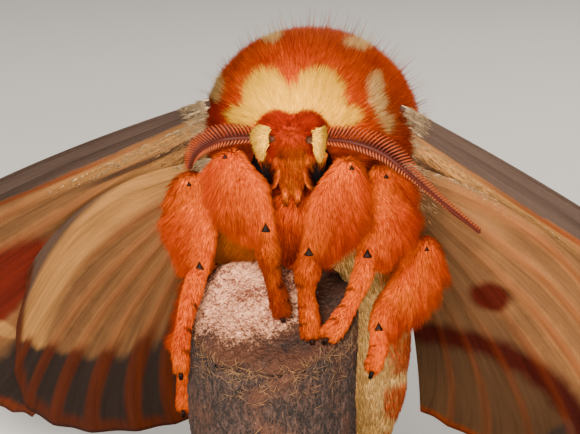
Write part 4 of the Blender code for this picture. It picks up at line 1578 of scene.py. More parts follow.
LEG_STATIONS: dict[str, tuple[Stations, Stations, Stations]] = {
    "fore_left": (
        ((-1.6, 1.8, -6.4, 1.1, 1.1), (-3.4, 1.0, -3.4, 1.3, 1.2), (-4.9, 0.1, -0.6, 1.1, 1.0)),
        ((-5.1, -1.9, -0.1, 1.3, 1.0), (-4.9, -3.0, -1.4, 2.3, 1.4), (-3.9, -3.6, -3.0, 2.7, 1.6),
         (-2.7, -4.1, -4.1, 1.9, 1.3), (-1.5, -4.6, -4.9, 0.8, 0.7)),
        ((-1.4, -4.6, -5.0, 0.8, 0.7), (-1.3, -4.4, -6.8, 1.05, 0.9), (-1.0, -3.9, -9.1, 0.75, 0.7),
         (-0.6, -3.4, -10.9, 0.85, 0.7), (-0.4, -3.2, -12.2, 0.9, 0.6)),
    ),
    "fore_right": (
        ((1.6, 1.8, -6.4, 1.1, 1.1), (3.4, 1.0, -3.4, 1.3, 1.2), (4.9, 0.1, -1.0, 1.1, 1.0)),
        ((5.1, -1.8, -0.5, 1.2, 1.0), (5.0, -2.6, -1.8, 2.1, 1.5), (4.5, -3.3, -3.6, 2.6, 1.7),
         (3.5, -4.1, -5.3, 2.0, 1.3), (2.3, -4.6, -6.5, 0.8, 0.7)),
        ((2.2, -4.6, -6.6, 0.8, 0.7), (2.0, -4.6, -8.3, 1.1, 0.9), (1.9, -4.7, -10.0, 0.75, 0.7),
         (2.2, -5.0, -12.0, 0.85, 0.7), (2.4, -5.2, -13.4, 0.95, 0.6)),
    ),
    "mid_left": (
        ((-3.6, 4.0, -5.8, 1.2, 1.2), (-6.0, 4.2, -5.2, 1.3, 1.2), (-8.2, 3.9, -3.9, 1.1, 1.0)),
        ((-9.2, 2.2, -2.7, 1.2, 1.0), (-9.2, 1.8, -4.4, 2.0, 1.5), (-8.9, 0.9, -6.3, 2.2, 1.6),
         (-8.3, 0.0, -8.0, 1.7, 1.3), (-7.7, -0.8, -9.3, 0.8, 0.7)),
        ((-7.7, -1.0, -9.5, 0.8, 0.7), (-7.9, -2.8, -10.9, 0.85, 0.8), (-8.2, -4.8, -13.0, 0.7, 0.7),
         (-8.3, -6.0, -14.8, 0.75, 0.7), (-8.2, -6.6, -16.4, 0.75, 0.6)),
    ),
    "mid_right": (
        ((3.6, 4.0, -5.8, 1.2, 1.2), (5.4, 4.0, -4.6, 1.2, 1.1), (6.8, 3.7, -2.6, 1.1, 1.0)),
        ((7.6, 1.8, -1.3, 1.2, 1.0), (8.1, 1.5, -3.2, 2.0, 1.5), (8.2, 0.7, -5.2, 2.2, 1.6),
         (7.3, -0.4, -6.8, 1.7, 1.3), (6.5, -1.2, -7.6, 0.8, 0.7)),
        ((6.4, -1.4, -7.8, 0.8, 0.7), (6.2, -2.1, -9.3, 0.9, 0.8), (5.5, -3.3, -11.1, 0.7, 0.7),
         (4.7, -4.9, -12.5, 0.85, 0.7), (4.1, -5.5, -13.3, 0.9, 0.6)),
    ),
    "hind_left": (
        ((-3.0, 7.1, -7.3, 1.1, 1.1), (-4.6, 6.6, -8.4, 1.2, 1.2), (-6.2, 6.4, -9.4, 1.1, 1.1)),
        ((-7.4, 6.2, -10.2, 1.1, 1.1), (-8.2, 6.0, -12.0, 1.6, 1.4), (-8.8, 5.6, -14.2, 1.6, 1.4),
         (-9.2, 4.8, -16.4, 1.3, 1.2), (-9.4, 3.4, -18.0, 0.8, 0.7)),
        ((-9.5, 3.1, -18.4, 0.75, 0.7), (-9.6, 2.4, -20.2, 0.8, 0.7), (-9.6, 1.4, -22.2, 0.75, 0.6)),
    ),
    "hind_right": (
        ((3.2, 7.1, -7.3, 1.1, 1.1), (6.4, 5.8, -8.4, 1.2, 1.2), (9.2, 5.0, -8.2, 1.1, 1.0)),
        ((10.9, 4.4, -8.1, 1.1, 1.0), (10.7, 4.0, -9.8, 1.9, 1.4), (9.7, 3.1, -11.9, 2.0, 1.4),
         (8.2, 2.3, -13.5, 1.6, 1.2), (7.2, 1.4, -14.5, 0.8, 0.7)),
        ((7.2, 1.1, -14.8, 0.75, 0.7), (7.3, 0.3, -16.0, 0.8, 0.7), (7.0, -0.6, -17.4, 0.75, 0.6)),
    ),
}


@dataclass
class Abdomen:
    """The banded abdomen that hangs behind the branch."""

    stations: Stations = (
        (0.0, 15.6, -2.6, 4.3), (0.7, 18.6, -7.5, 5.2), (2.0, 19.8, -13.5, 5.6), (3.4, 19.6, -20.5, 5.0),
        (4.1, 18.8, -27.0, 3.7), (4.3, 17.8, -32.0, 1.2),
    )
    coat_depth: float = 0.5
    rings: int = 8
    roots: int = 30000

    def tube(self) -> Tube:
        """The abdomen inside its coat, pinched a little between its rings.

        Returns:
            The tube.
        """
        tube = Tube(self.stations, -self.coat_depth, 12)
        pinch = np.abs(np.sin(tube.reach / tube.reach[-1] * math.pi * self.rings)) ** 0.6
        tube.wide = tube.wide * (0.955 + 0.045 * pinch)
        tube.deep = tube.deep * (0.955 + 0.045 * pinch)
        return tube

    def marks(self, share: Array, angle: Array, places: Array) -> Rows:
        """Cream below with red patches at each ring, red above with narrow pale bands.

        Args:
            share: Shares of the length.
            angle: The angle round the middle, in radians.
            places: Points in millimetres.

        Returns:
            The cream, deep and dark shares.
        """
        below = 1 - ramp(np.sin(angle), -0.35, 0.1)
        phase = (share * self.rings) % 1.0
        band = 1 - ramp(np.abs(phase - 0.5), 0.32, 0.42)
        tube = self.tube()
        aside = (places - tube.at(share, tube.places)) @ VIEW_RIGHT / tube.at(share, tube.wide)
        belly = 1 - 0.9 * band * ramp(aside + 0.12 * ripple(places, 0.8, 14), 0.45, 0.6)
        back = 1 - band
        facing = ramp(np.sin(angle), -0.15, 0.2)
        cream = belly * facing + back * 0.8 * (1 - facing)
        return {"cream": np.clip(cream, 0, 1), "deep": 0.25 + 0.25 * below, "dark": np.zeros(len(share))}

    def coat(self, skin: SkinSurface, finish: Material) -> None:
        """Grows the abdomen's coat, which lies towards its tip.

        Args:
            skin: The one skin.
            finish: Its material.
        """
        draw = np.random.default_rng(15)
        roots = self.tube().scatter(self.roots, draw)
        tufts = Tufts.plain(roots, (0, 0, 1, 1))
        marks = self.marks(roots["share"], roots["angle"], roots["place"])
        tufts.set(**marks, length=1.1, width=0.11, lift=0.3)
        style = TuftStyle(clump=0.2, clump_size=10, bend=0.12, scatter=0.15, seed=34)
        install(style.grow("coat_abdomen", skin.settle(tufts, 0.5)), finish, "abdomen_fur")


@dataclass
class Feeler:
    """One combed feeler: a ringed shaft with a close row of curved teeth along each side."""

    side: Side
    stations: Stations
    shaft: float = 0.2
    spacing: float = 0.3
    slant: float = 0.55
    tooth: float = 0.095
    drop: float = 0.4
    bare: float = 1.9

    def build(self, finish: Material) -> None:
        """Builds shaft and teeth as one mesh that replaces the solid feeler.

        Args:
            finish: Its material.
        """
        widths = [min(row[3], self.shaft) for row in self.stations]
        shaft = Tube([(*row[:3], wide * 0.9, wide) for row, wide in zip(self.stations, widths)], steps=14)
        outline = Tube(self.stations, steps=14)
        shaft.places = shaft.places - self._up(outline.across) * (outline.wide * self.drop)[:, None]
        beads = 1 + 0.14 * np.sin(shaft.reach * math.tau / self.spacing)
        shaft.wide, shaft.deep = shaft.wide * beads, shaft.deep * beads
        points, faces = shaft.shell(10)
        pieces = [(points, faces, np.zeros(len(points)), 0.0)]
        step = self.spacing / outline.reach[-1]
        for share in np.arange(self.bare / outline.reach[-1], 0.985, step):
            for sign in (-1, 1):
                pieces.append(self._tooth(outline, np.array([share]), sign, 0.22))
                pieces.append(self._tooth(outline, np.array([share + step / 2]), sign, -0.35))
        mesh = make_mesh("feeler", *fused(piece[:2] for piece in pieces))
        set_numbers(mesh, "tip", np.concatenate([piece[2] for piece in pieces]))
        set_numbers(mesh, "low", np.concatenate([np.full(len(piece[0]), piece[3]) for piece in pieces]))
        thing = make_object(f"comb_{self.side.word}", mesh)
        install(thing, finish, "antenna", f"antenna_{self.side.word}")

    @staticmethod
    def _up(across: Array) -> Array:
        """The ways across the comb, turned to point up."""
        return across * np.where(across[:, 2:] > 0, 1.0, -1.0)

    def _tooth(self, outline: Tube, share: Array, sign: int, lean: float) -> tuple:
        """One tooth: a thin tube that leaves the shaft aslant, leaning to the viewer or away.

        Args:
            outline: The feeler's full outline.
            share: Where it leaves the shaft.
            sign: 1 on the upper side, -1 on the lower.
            lean: How far it leans to the viewer.

        Returns:
            Points, quads, how far out each point lies, and 1 on the lower side.
        """
        wide = outline.at(share, outline.wide)[0]
        up = self._up(unit(outline.at(share, outline.across)))[0]
        place = outline.at(share, outline.places)[0] - up * wide * self.drop
        across = up * sign
        ahead = unit(outline.at(share, outline.ahead))[0]
        depth = unit(outline.at(share, outline.depth))[0]
        reach = wide * (1.0 + self.drop * sign) * 1.02
        rows = []
        for level, size in ((0.0, 1.0), (0.35, 0.95), (0.7, 0.8), (1.0, 0.35)):
            spot = place + across * reach * level + ahead * self.slant * reach * level ** 1.5
            spot = spot + depth * lean * reach * math.sin(level * 2.4)
            rows.append((*spot, self.tooth * size, self.tooth * size * 0.8))
        points, faces = Tube(rows, steps=1).shell(5)
        tip = np.linalg.norm(points - place, axis=1) / reach * (1.0 if lean > 0 else 0.25)
        return points, faces, np.clip(tip, 0, 1), float(sign < 0)


@dataclass
class WingShape:
    """The curved sheet of one wing and the way its veins fan out."""

    side: Side
    kind: str
    base: Stations
    edge: Stations
    arch: tuple[float, float]
    under_offset: float
    root: tuple = (8.3, 6.6, 2.6)
    fall: float = 66.0
    chord_bend: float = 0.004
    span_bend: float = 0.0009
    veins: tuple = VEINS
    rows: int = 46
    breadths: int = 90
    web: float = 0.11
    vein: float = 0.12
    fold: float = 0.16

    @property
    def curl(self) -> float:
        """How far the veins bow towards the leading edge, as a share of the breadth."""
        return 0.02 if self.kind == "forewing" else 0.08

    def axes(self) -> tuple[Array, Array, Array]:
        """The wing's own ways.

        Returns:
            Out along the costa, from costa to trailing edge, and towards the underside.
        """
        sweep, droop = (math.radians(degrees) for degrees in WING_TURNS[self.side])
        fall = math.radians(self.fall)
        sign = self.side.value
        level = math.cos(droop)
        out = np.array((sign * math.cos(sweep) * level, math.sin(sweep) * level, -math.sin(droop)))
        web = np.array((0, math.cos(fall), -math.sin(fall)))
        web = unit(web - out * (web @ out))
        return out, web, np.cross(out, web) * -sign

    def place(self, u: Array, v: Array, lift: Array | float = 0.0) -> Array:
        """Places on the sheet, raised towards the underside by the lift."""
        out, web, under = self.axes()
        start = np.array((self.side.value * self.root[0], self.root[1], self.root[2]))
        away = self.under_offset - self.chord_bend * (v - 4.0) ** 2 - self.span_bend * u * u + lift
        return start + u[:, None] * out + v[:, None] * web + away[:, None] * under

    def flat_place(self, along: Array, across: Array) -> tuple[Array, Array]:
        """The sheet's own coordinates, in millimetres, at shares along and across the wing.

        Args:
            along: Shares of its length.
            across: Shares from its leading edge.

        Returns:
            The sheet's u and v.
        """
        base = np.array(self.base)
        start = base[0] + (base[1] - base[0]) * across[:, None]
        outline = smooth_rows(self.edge, 8)
        finish = read_rows(across * (len(outline) - 1), np.arange(len(outline)), outline)
        spot = start + (finish - start) * along[:, None]
        swell = 4 * along * (1 - along)
        v = spot[:, 1] + swell * (self.arch[0] * (1 - across) ** 2 + self.arch[1] * across ** 2)
        return spot[:, 0], v

    def _curled(self, along: Array, across: Array) -> Array:
        """Shares across the wing, bowed as its veins are."""
        return across + 4 * self.curl * along * (1 - along)

    def relief(self, along: Array, across: Array) -> tuple[Array, Array]:
        """How far veins and the folds between them stand out of the sheet.

        Args:
            along: Shares of its length.
            across: Shares from its leading edge.

        Returns:
            The veins' height and the folds'.
        """
        height = np.zeros(len(along))
        curled = self._curled(along, across)
        for middle in self.veins:
            height = np.maximum(height, np.exp(-((curled - middle) / 0.0085) ** 2))
        bounds = np.array((0.0, *self.veins, 1.0))
        cell = np.interp(curled, bounds, np.arange(len(bounds)))
        folds = np.sin(cell * math.pi * 2 + math.pi / 2) * ramp(along, 0.05, 0.4)
        return height * self.vein * (1 - 0.5 * along), folds * self.fold

    def mesh(self) -> bpy.types.Mesh:
        """Both faces and the rim of the wing, with its own coordinates stored.

        Returns:
            The mesh.
        """
        columns = np.linspace(0, 1, self.breadths)
        level = np.linspace(0, 1, self.rows) ** 0.9
        along, across = (rows.ravel() for rows in np.meshgrid(level, columns, indexing="ij"))
        u, v = self.flat_place(along, across)
        ridge, folds = self.relief(along, across)
        thin = self.web * (1 - 0.4 * along)
        under = self.place(u, v, folds + thin / 2 + ridge)
        upper = self.place(u, v, folds - thin / 2 - ridge)
        count = len(under)
        faces = grid_faces(self.rows, self.breadths, False)
        sheets = np.vstack([faces, faces[:, ::-1] + count, self._rim(self.rows, self.breadths, count)])
        mesh = make_mesh(f"{self.kind}_{self.side.word}", np.vstack([under, upper]), sheets)
        curled = self._curled(along, across)
        grain = np.stack([curled * 60, along * 5, np.zeros(len(along))], axis=1)
        for word, rows in (("along", along), ("across", across), ("u", u), ("v", v), ("grain", grain)):
            set_numbers(mesh, word, np.concatenate([rows, rows]))
        set_numbers(mesh, "upper", np.repeat((0.0, 1.0), count))
        return mesh

    @staticmethod
    def _rim(rows: int, columns: int, count: int) -> Array:
        """Quads that close the two faces all round."""
        grid = np.arange(rows * columns).reshape(rows, columns)
        loop = np.concatenate([grid[0, :-1], grid[:-1, -1], grid[-1, :0:-1], grid[:0:-1, 0]])
        after = np.roll(loop, -1)
        return np.stack([loop, loop + count, after + count, after], axis=1)


@dataclass(frozen=True)
class WingPlace:
    """Where a point of a wing lies, as values inside its material, with a soft cloud over it."""

    along: Value
    across: Value
    u: Value
    v: Value
    cloud: Value
    nearest: Value

    def veins(self, width: float, *fade: float) -> Value:
        """Lines down the veins, narrower outwards, with the edges and strength told by the fade."""
        return (width - self.nearest * (self.along + 0.08)).ramp(*fade)


@dataclass(frozen=True)
class WingFinish:
    """Scaled wing membrane: pale under veins of orange-brown, with each wing's own patches.

    The marks are laid out in the wing's own plane: u in millimetres out along the costa, v down from it.
    """

    kind: str
    side: Side
    under: tuple = srgb(140, 94, 54)
    # The shadow tone serves both the greyer rays between the veins and the painted shadow on the right
    # hindwing.
    shadow: tuple = srgb(80, 55, 34)
    vein: tuple = srgb(124, 50, 12)
    red: tuple = srgb(82, 19, 4)
    curl: float = 0.05
    cell: tuple = srgb(44, 33, 27)
    costa: tuple = srgb(76, 60, 52)
    cream: tuple = srgb(172, 121, 66)
    slate: tuple = srgb(62, 60, 60)

    def material(self, name: str) -> Material:
        """Builds the wing's material on both faces.

        Args:
            name: The material's name.

        Returns:
            The material.
        """
        shader = Shader(name, 0.8, Specular_IOR_Level=0.08)
        along, across = shader.number("along"), shader.number("across")
        streak = shader.noise(shader.triple("grain"), 1.0, 3.0)
        u, v = shader.number("u"), shader.number("v")
        scales = shader.noise(shader.place(), 6.0, 4.0)
        cloud = shader.noise(shader.place(), 0.35, 3.0)
        nearest = self._nearest(across + along * (1.0 - along) * (4.0 * self.curl))
        at = WingPlace(along, across, u, v, cloud, nearest)
        if self.kind == "forewing":
            lower, upper = self._fore_under(shader, at), self._fore_upper(shader, at)
        else:
            paint = self._left_under if self.side is Side.LEFT else self._right_under
            lower, upper = paint(shader, at), self._hind_upper(shader, at)
        shader.tone = shader.mix(shader.number("upper").ramp(0.4, 0.6), lower, upper)
        # Painted shade: the wing's colour is dimmed by its side's level.
        level = WING_PAINTED_LIGHT[self.side]
        light = (scales * 0.3 + 0.85) * streak.ramp(0.25, 0.75, 0.8 * level, 1.14 * level)
        shader.colour(shader.brighten(light))
        shader.bump(streak * 0.6 + scales * 0.4, 0.16)
        return shader.material

    @staticmethod
    def _nearest(across: Value) -> Value:
        """How far the nearest vein lies, as a share of the wing's breadth."""
        nearest = abs(across - VEINS[0])
        for middle in VEINS[1:]:
            nearest = nearest.smallest(abs(across - middle))
        return nearest

    @staticmethod
    def _oval(u: Value, v: Value, centre: tuple[float, float], radii: tuple[float, float]) -> Value:
        """1 inside an oval of the wing's own plane."""
        away = (((u - centre[0]) / radii[0]) ** 2.0 + ((v - centre[1]) / radii[1]) ** 2.0).root()
        return away.ramp(1.35, 0.7)

    @staticmethod
    def _dim(colour: tuple, share: float) -> tuple:
        """Multiplies a plain colour by a number."""
        return (*(part * share for part in colour[:3]), 1.0)

    def _field(self, shader: Shader, at: WingPlace) -> Socket:
        """The tan field: greyer between the veins, with fuzzy orange-brown veins."""
        ray = (at.nearest * 14.0 + at.cloud * 0.9 - 0.35).ramp(0.2, 0.9) * at.along.ramp(0.15, 0.5)
        shader.tone = shader.mix(ray * 0.55, self.under, self.shadow)
        return shader.lay(at.veins(0.0075, -0.014, 0.004, 0.0, 0.26) * at.along.ramp(0.05, 0.3), self.vein)

    def _fore_under(self, shader: Shader, at: WingPlace) -> Socket:
        """Forewing from below: grey costa, cream ridge, orange line, then tan with a red patch.

        Args:
            shader: The shader it paints.
            at: Where a point lies on the wing.

        Returns:
            The painted colour.
        """
        u, v, cloud = at.u, at.v, at.cloud
        self._field(shader, at)
        below = v - (u * COSTA_SLOPE + COSTA_BREADTH[self.side])
        foot = u * 0.36 - 0.7 + cloud
        patch = (u + cloud * 3.0).ramp(26.5, 31.0) * (v + cloud).ramp(6.0, 8.0) * (foot - v).ramp(-0.5, 0.5)
        for share, colour in (
            (abs(below - 0.75).ramp(0.65, 0.3) * u.ramp(30.0, 12.0), self.cream),
            (abs(below - 1.7).ramp(0.35, 0.12, 0.0, 0.8) * u.ramp(24.0, 14.0), self.cell),
            (abs(below - 2.6).ramp(0.8, 0.3, 0.0, 0.8) * u.ramp(20.0, 9.0), self.cream),
            (patch, self._dim(self.red, 1.5)),
            ((v - foot).ramp(1.6, 3.2) * u.ramp(38.0, 41.0), self.cell),
            (self._oval(u, v, (41.4, 15.6), (1.3, 1.1)), self.cream),
            (at.along.ramp(0.94, 0.975), self._dim(self.vein, 0.7)),
            (abs(below).ramp(0.3, 0.1, 0.0, 0.7) * u.ramp(8.0, 20.0), self._dim(self.vein, 0.8)),
            ((below + cloud * 0.3).ramp(0.1, -0.15), self.costa),
        ):
            shader.lay(share, colour)
        return shader.tone

    def _left_under(self, shader: Shader, at: WingPlace) -> Socket:
        """Left hindwing from below: a pale strip inside its grey edge, and dark cells by the margin.

        Args:
            shader: The shader it paints.
            at: Where a point lies on the wing.

        Returns:
            The painted colour.
        """
        u, v, nearest = at.u, at.v, at.nearest
        self._field(shader, at)
        inside = (v - (u - 5.0) ** 2.0 * 0.0115 - 2.0) * (1.0 - u * 0.0055)
        top = (u - 27.0) ** 2.0 * -0.03 + 19.2 + nearest * 20.0 + at.cloud
        bar = (0.02 - nearest * at.along).ramp(-0.012, 0.006) * (v - top + nearest * 20.0).ramp(-1.6, 1.0)
        shader.lay(abs(inside - 2.0).ramp(2.0, 0.8), self.cream)
        shader.lay(inside.ramp(0.9, 0.3, 0.0, 0.85), self.costa)
        shader.lay((v - top).ramp(-0.7, 1.1), self.cell)
        shader.lay(bar * 0.9, self._dim(self.vein, 0.45))
        return shader.lay(at.along.ramp(0.92, 0.97, 0.0, 0.9), self._dim(self.vein, 0.42))

    def _right_under(self, shader: Shader, at: WingPlace) -> Socket:
        """Right hindwing from below: tan with painted shadow towards its lower part near the body, a dark red
        spot and a curved dark red band.

        Args:
            shader: The shader it paints.
            at: Where a point lies on the wing.

        Returns:
            The painted colour.
        """
        u, v, cloud = at.u, at.v, at.cloud
        self._field(shader, at)
        middle = (u - 25.5) ** 2.0 * 0.02 + 14.4 + cloud * 1.2
        spot = self._oval(u, v + cloud * 0.6, (19.1, 10.9), (2.2, 1.4))
        # Painted shadow: darker towards the lower part near the body.
        shader.lay((v - u * 0.5 + 1.5 + cloud * 3.0).ramp(0.5, 5.0, 0.0, 0.8), self.shadow)
        shader.lay(spot, self._dim(self.red, 0.6))
        shader.lay((v - middle).ramp(0.4, 1.6, 0.0, 0.85), self._dim(self.shadow, 0.6))
        shader.lay(abs(v - middle - 0.3).ramp(2.0, 0.5), self._dim(self.red, 0.4))
        shader.lay((u - 36.2).ramp(0.0, 1.2) * (v - middle).ramp(0.8, 1.8), self.cell)
        lines = at.veins(0.0075, -0.014, 0.003, 0.0, 0.3) * at.along.ramp(0.4, 0.6)
        shader.lay(lines, self._dim(self.vein, 0.6))
        return shader.lay(at.along.ramp(0.95, 0.985), self._dim(self.vein, 0.6))

    def _fore_upper(self, shader: Shader, at: WingPlace) -> Socket:
        """Forewing from above: slate with orange-red veins and pale yellow spots.

        Args:
            shader: The shader it paints.
            at: Where a point lies on the wing.

        Returns:
            The painted colour.
        """
        shader.tone = shader.mix(at.cloud.ramp(0.3, 0.75), self.slate, self.costa)
        for spot in (((13.0, 5.0), (1.8, 1.4)), ((27.0, 9.5), (2.2, 1.6)), ((42.0, 13.5), (2.6, 1.5)),
                     ((20.0, 10.5), (1.6, 1.2)), ((46.0, 7.5), (1.8, 1.2)), ((38.0, 18.5), (1.9, 1.2))):
            shader.lay(self._oval(at.u, at.v, *spot), self.cream)
        shader.lay(at.veins(0.012, -0.006, 0.004), srgb(176, 62, 22))
        return shader.lay(at.across.ramp(0.045, 0.02), self.red)

    def _hind_upper(self, shader: Shader, at: WingPlace) -> Socket:
        """Hindwing from above: orange-red, yellow near the body and costa, with an olive band."""
        shader.tone = shader.mix(at.cloud.ramp(0.3, 0.7), srgb(166, 58, 24), srgb(196, 84, 32))
        shader.lay((at.across + at.along * 0.3).ramp(0.3, 0.12), self.cream)
        shader.lay(abs(at.along + at.cloud * 0.12 - 0.76).ramp(0.1, 0.05, 0.0, 0.85), self.cell)
        return shader.lay(at.veins(0.012, -0.006, 0.004), srgb(150, 44, 16))


@dataclass
class Wing:
    """A dressed wing: its sheet, and the fur near its root."""

    shape: WingShape
    roots: int = 26000

    @property
    def node(self) -> str:
        """The solid that this wing replaces."""
        return f"{self.shape.kind}_{self.shape.side.word}"

    def build(self, finish: Material) -> None:
        """Builds the sheet in place of the solid."""
        install(make_object(f"sheet_{self.node}", self.shape.mesh()), finish, self.shape.kind, self.node)

    def fur(self, finish: Material) -> None:
        """Grows flat hair over the wing's root and down its leading ridge, on both faces.

        Args:
            finish: Its material.
        """
        draw = np.random.default_rng(41 + self.shape.side.value + len(self.shape.kind))
        reach = 0.09 if self.shape.kind == "forewing" else 0.05
        groups = []
        for face in Face:
            along = draw.uniform(0, 1, self.roots) ** 1.8
            across = draw.uniform(0, 1, self.roots) ** 1.2
            below = self._below(along, across)
            ridge = np.exp(-((below - 0.75) / 0.45) ** 2) * (1 - ramp(along, 0.25, 0.5))
            keep = draw.uniform(0, 1, self.roots) < np.exp(-along / reach) + ridge
            keep &= ((below > 0.1) | (along < 0.05)) & ((along < 0.16) | (ridge > 0.3))
            groups.append(self._tufts(along[keep], across[keep], face))
        style = TuftStyle(clump=0.25, clump_size=8, bend=0.1, scatter=0.14, seed=35)
        install(style.grow(f"coat_{self.node}", Tufts.joined(groups)), finish, self.shape.kind)

    def _below(self, along: Array, across: Array) -> Array:
        """How far places lie below the grey costa, in millimetres."""
        u, v = self.shape.flat_place(along, across)
        return v - u * COSTA_SLOPE - COSTA_BREADTH[self.shape.side]

    def _tufts(self, along: Array, across: Array, face: Face) -> Tufts:
        """Tufts on one face of the wing, lying out along it.

        Args:
            along: Shares of its length.
            across: Shares from its leading edge.
            face: The wing's face.

        Returns:
            The dressed tufts.
        """
        shape = self.shape
        u, v = shape.flat_place(along, across)
        farther_u, farther_v = shape.flat_place(along + 0.01, across)
        ridge, folds = shape.relief(along, across)
        lift = folds + face.value * (shape.web / 2 + ridge)
        place = shape.place(u, v, lift)
        lie = unit(shape.place(farther_u, farther_v, lift) - place)
        normal = np.tile(shape.axes()[2] * face.value, (len(along), 1))
        half = 0.0 if face is Face.UNDER else 0.5
        roots = {"place": place, "normal": normal, "ahead": lie, "share": along, "angle": across * math.tau}
        tufts = Tufts.plain(roots, (half, 0, 0.5, 1))
        tufts.set(length=1.3 * (1 - 0.6 * along), width=0.075, lift=0.16)
        near = 1 - ramp(along, 0.05, 0.09)
        if face is Face.UNDER:
            cream = np.maximum(0.9 - 0.4 * ramp(across, 0.3, 0.8), near)
            tufts.set(cream=cream, deep=1 - ramp(along, 0.05, 0.09) * ramp(across, 0.2, 0.5))
        else:
            tufts.set(cream=0.1 + 0.7 * near, deep=0.5)
        return tufts


@dataclass
class Branch:
    """The cut branch: rough bark up to a slanted, weathered break."""

    axis: tuple = (-1.3, -1.7)
    radius: float = 6.95
    foot: float = -33.0
    top: float = -12.7
    slant: float = 25.0
    sides: int = 200
    levels: int = 130
    cut_rings: int = 46
    bare: tuple = ((-3.9, 0.2), (4.6, 5.2))
    fibres: int = 1500
    heave: tuple = (-4.6, 3.4)

    @property
    def rise(self) -> float:
        """How far the slanted top rises for each millimetre."""
        return math.tan(math.radians(self.slant))

    def build(self, finish: Material) -> None:
        """Builds the bark and the cut as one closed surface.

        Args:
            finish: Its material.
        """
        angle = np.arange(self.sides) * math.tau / self.sides
        rings = [self._ring(angle, 0.0, 0.0)]
        rings += [self._ring(angle, self.radius, level) for level in np.linspace(0, 1, self.levels)]
        for shrink in np.linspace(0.985, 0.0, self.cut_rings):
            rings.append(self._ring(angle, self.radius * shrink, 1.0))
        level = np.concatenate([[0.0], np.linspace(0, 1, self.levels), np.ones(self.cut_rings)])
        cut = np.repeat((level > 0.985).astype(float), self.sides)
        points = self._roughened(np.vstack(rings), cut)
        mesh = make_mesh("branch", points, grid_faces(len(rings), self.sides, True))
        set_numbers(mesh, "cut", cut)
        set_numbers(mesh, "bare", oval(points[:, :2], *self.bare, 0.5) * cut)
        install(make_object("branch_bark", mesh), finish, "perch_bark", "perch_branch")

    def fray(self, finish: Material) -> None:
        """Grows thin stray fibres round the broken rim and over the upper bark.

        Args:
            finish: Its material.
        """
        draw = np.random.default_rng(56)
        angle = draw.uniform(0, math.tau, self.fibres)
        drop = draw.exponential(1.6, self.fibres)
        out = np.stack([np.cos(angle), np.sin(angle), np.zeros(self.fibres)], axis=1)
        place = out * self.radius + np.array((*self.axis, 0.0))
        place[:, 2] = self.top + (place[:, 1] - self.axis[1]) * self.rise - drop
        sideways = np.cross(out, (0, 0, 1)) * draw.normal(0, 0.7, (self.fibres, 1))
        ahead = unit(sideways + np.array((0, 0, 1.0)) * draw.uniform(-0.6, 1.0, (self.fibres, 1)))
        share = np.clip(drop / 8, 0, 1)
        roots = {"place": place, "normal": out, "ahead": ahead, "share": share, "angle": angle}
        tufts = Tufts.plain(roots, (0, 0, 1, 1))
        length = draw.uniform(0.5, 1.5, self.fibres)
        tufts.set(length=length, width=0.055, lift=draw.uniform(0.1, 0.7, self.fibres))
        style = TuftStyle(levels=(0.0, 0.4, 0.75), clump=0.0, bend=0.3, scatter=0.3, seed=57)
        install(style.grow("branch_fibres", tufts), finish, "perch_bark")

    def _ring(self, angle: Array, radius: float, level: float) -> Array:
        """One ring at a share of the height, its top following the slant."""
        x = self.axis[0] + radius * np.cos(angle)
        y = self.axis[1] + radius * np.sin(angle)
        top = self.top + (y - self.axis[1]) * self.rise
        return np.stack([x, y, self.foot + (top - self.foot) * level], axis=1)

    def _roughened(self, points: Array, cut: Array) -> Array:
        """Moves the bark in and out in long fibres, and the cut up and down in short ones.

        Args:
            points: Points in millimetres.
            cut: 1 on the cut and 0 on the bark.

        Returns:
            The moved points.
        """
        middle = np.array((*self.axis, 0.0))
        outward = (points - middle) * np.array((1, 1, 0))
        distance = np.linalg.norm(outward, axis=1)
        share = ramp(distance, self.radius * 0.6, self.radius)
        way = outward / np.maximum(distance, 1e-6)[:, None]
        fibre = points * np.array((1.0, 1.0, 0.22))
        rough = ripple(fibre, 1.3, 51) * 0.12 + ripple(points, 3.4, 52) * 0.08
        rough = rough + ripple(points, 0.35, 53) * 0.14
        raised = points[:, 2] > self.foot + 0.2
        moved = points + way * (rough * share * raised)[:, None]
        chips = ripple(points * np.array((1.0, 0.5, 1.0)), 1.4, 54) * 0.16 + ripple(points, 4.0, 55) * 0.07
        lip = ramp(distance, self.radius * 0.84, self.radius)
        moved[:, 2] += (chips * (1 - lip) - lip * 0.45) * cut
        heave = oval(points[:, :2], self.heave, (4.2, 3.8), 0.6)
        moved[:, 2] += heave * ramp(points[:, 2], self.top - 3.0, self.top + 1.0) * 0.9
        return moved


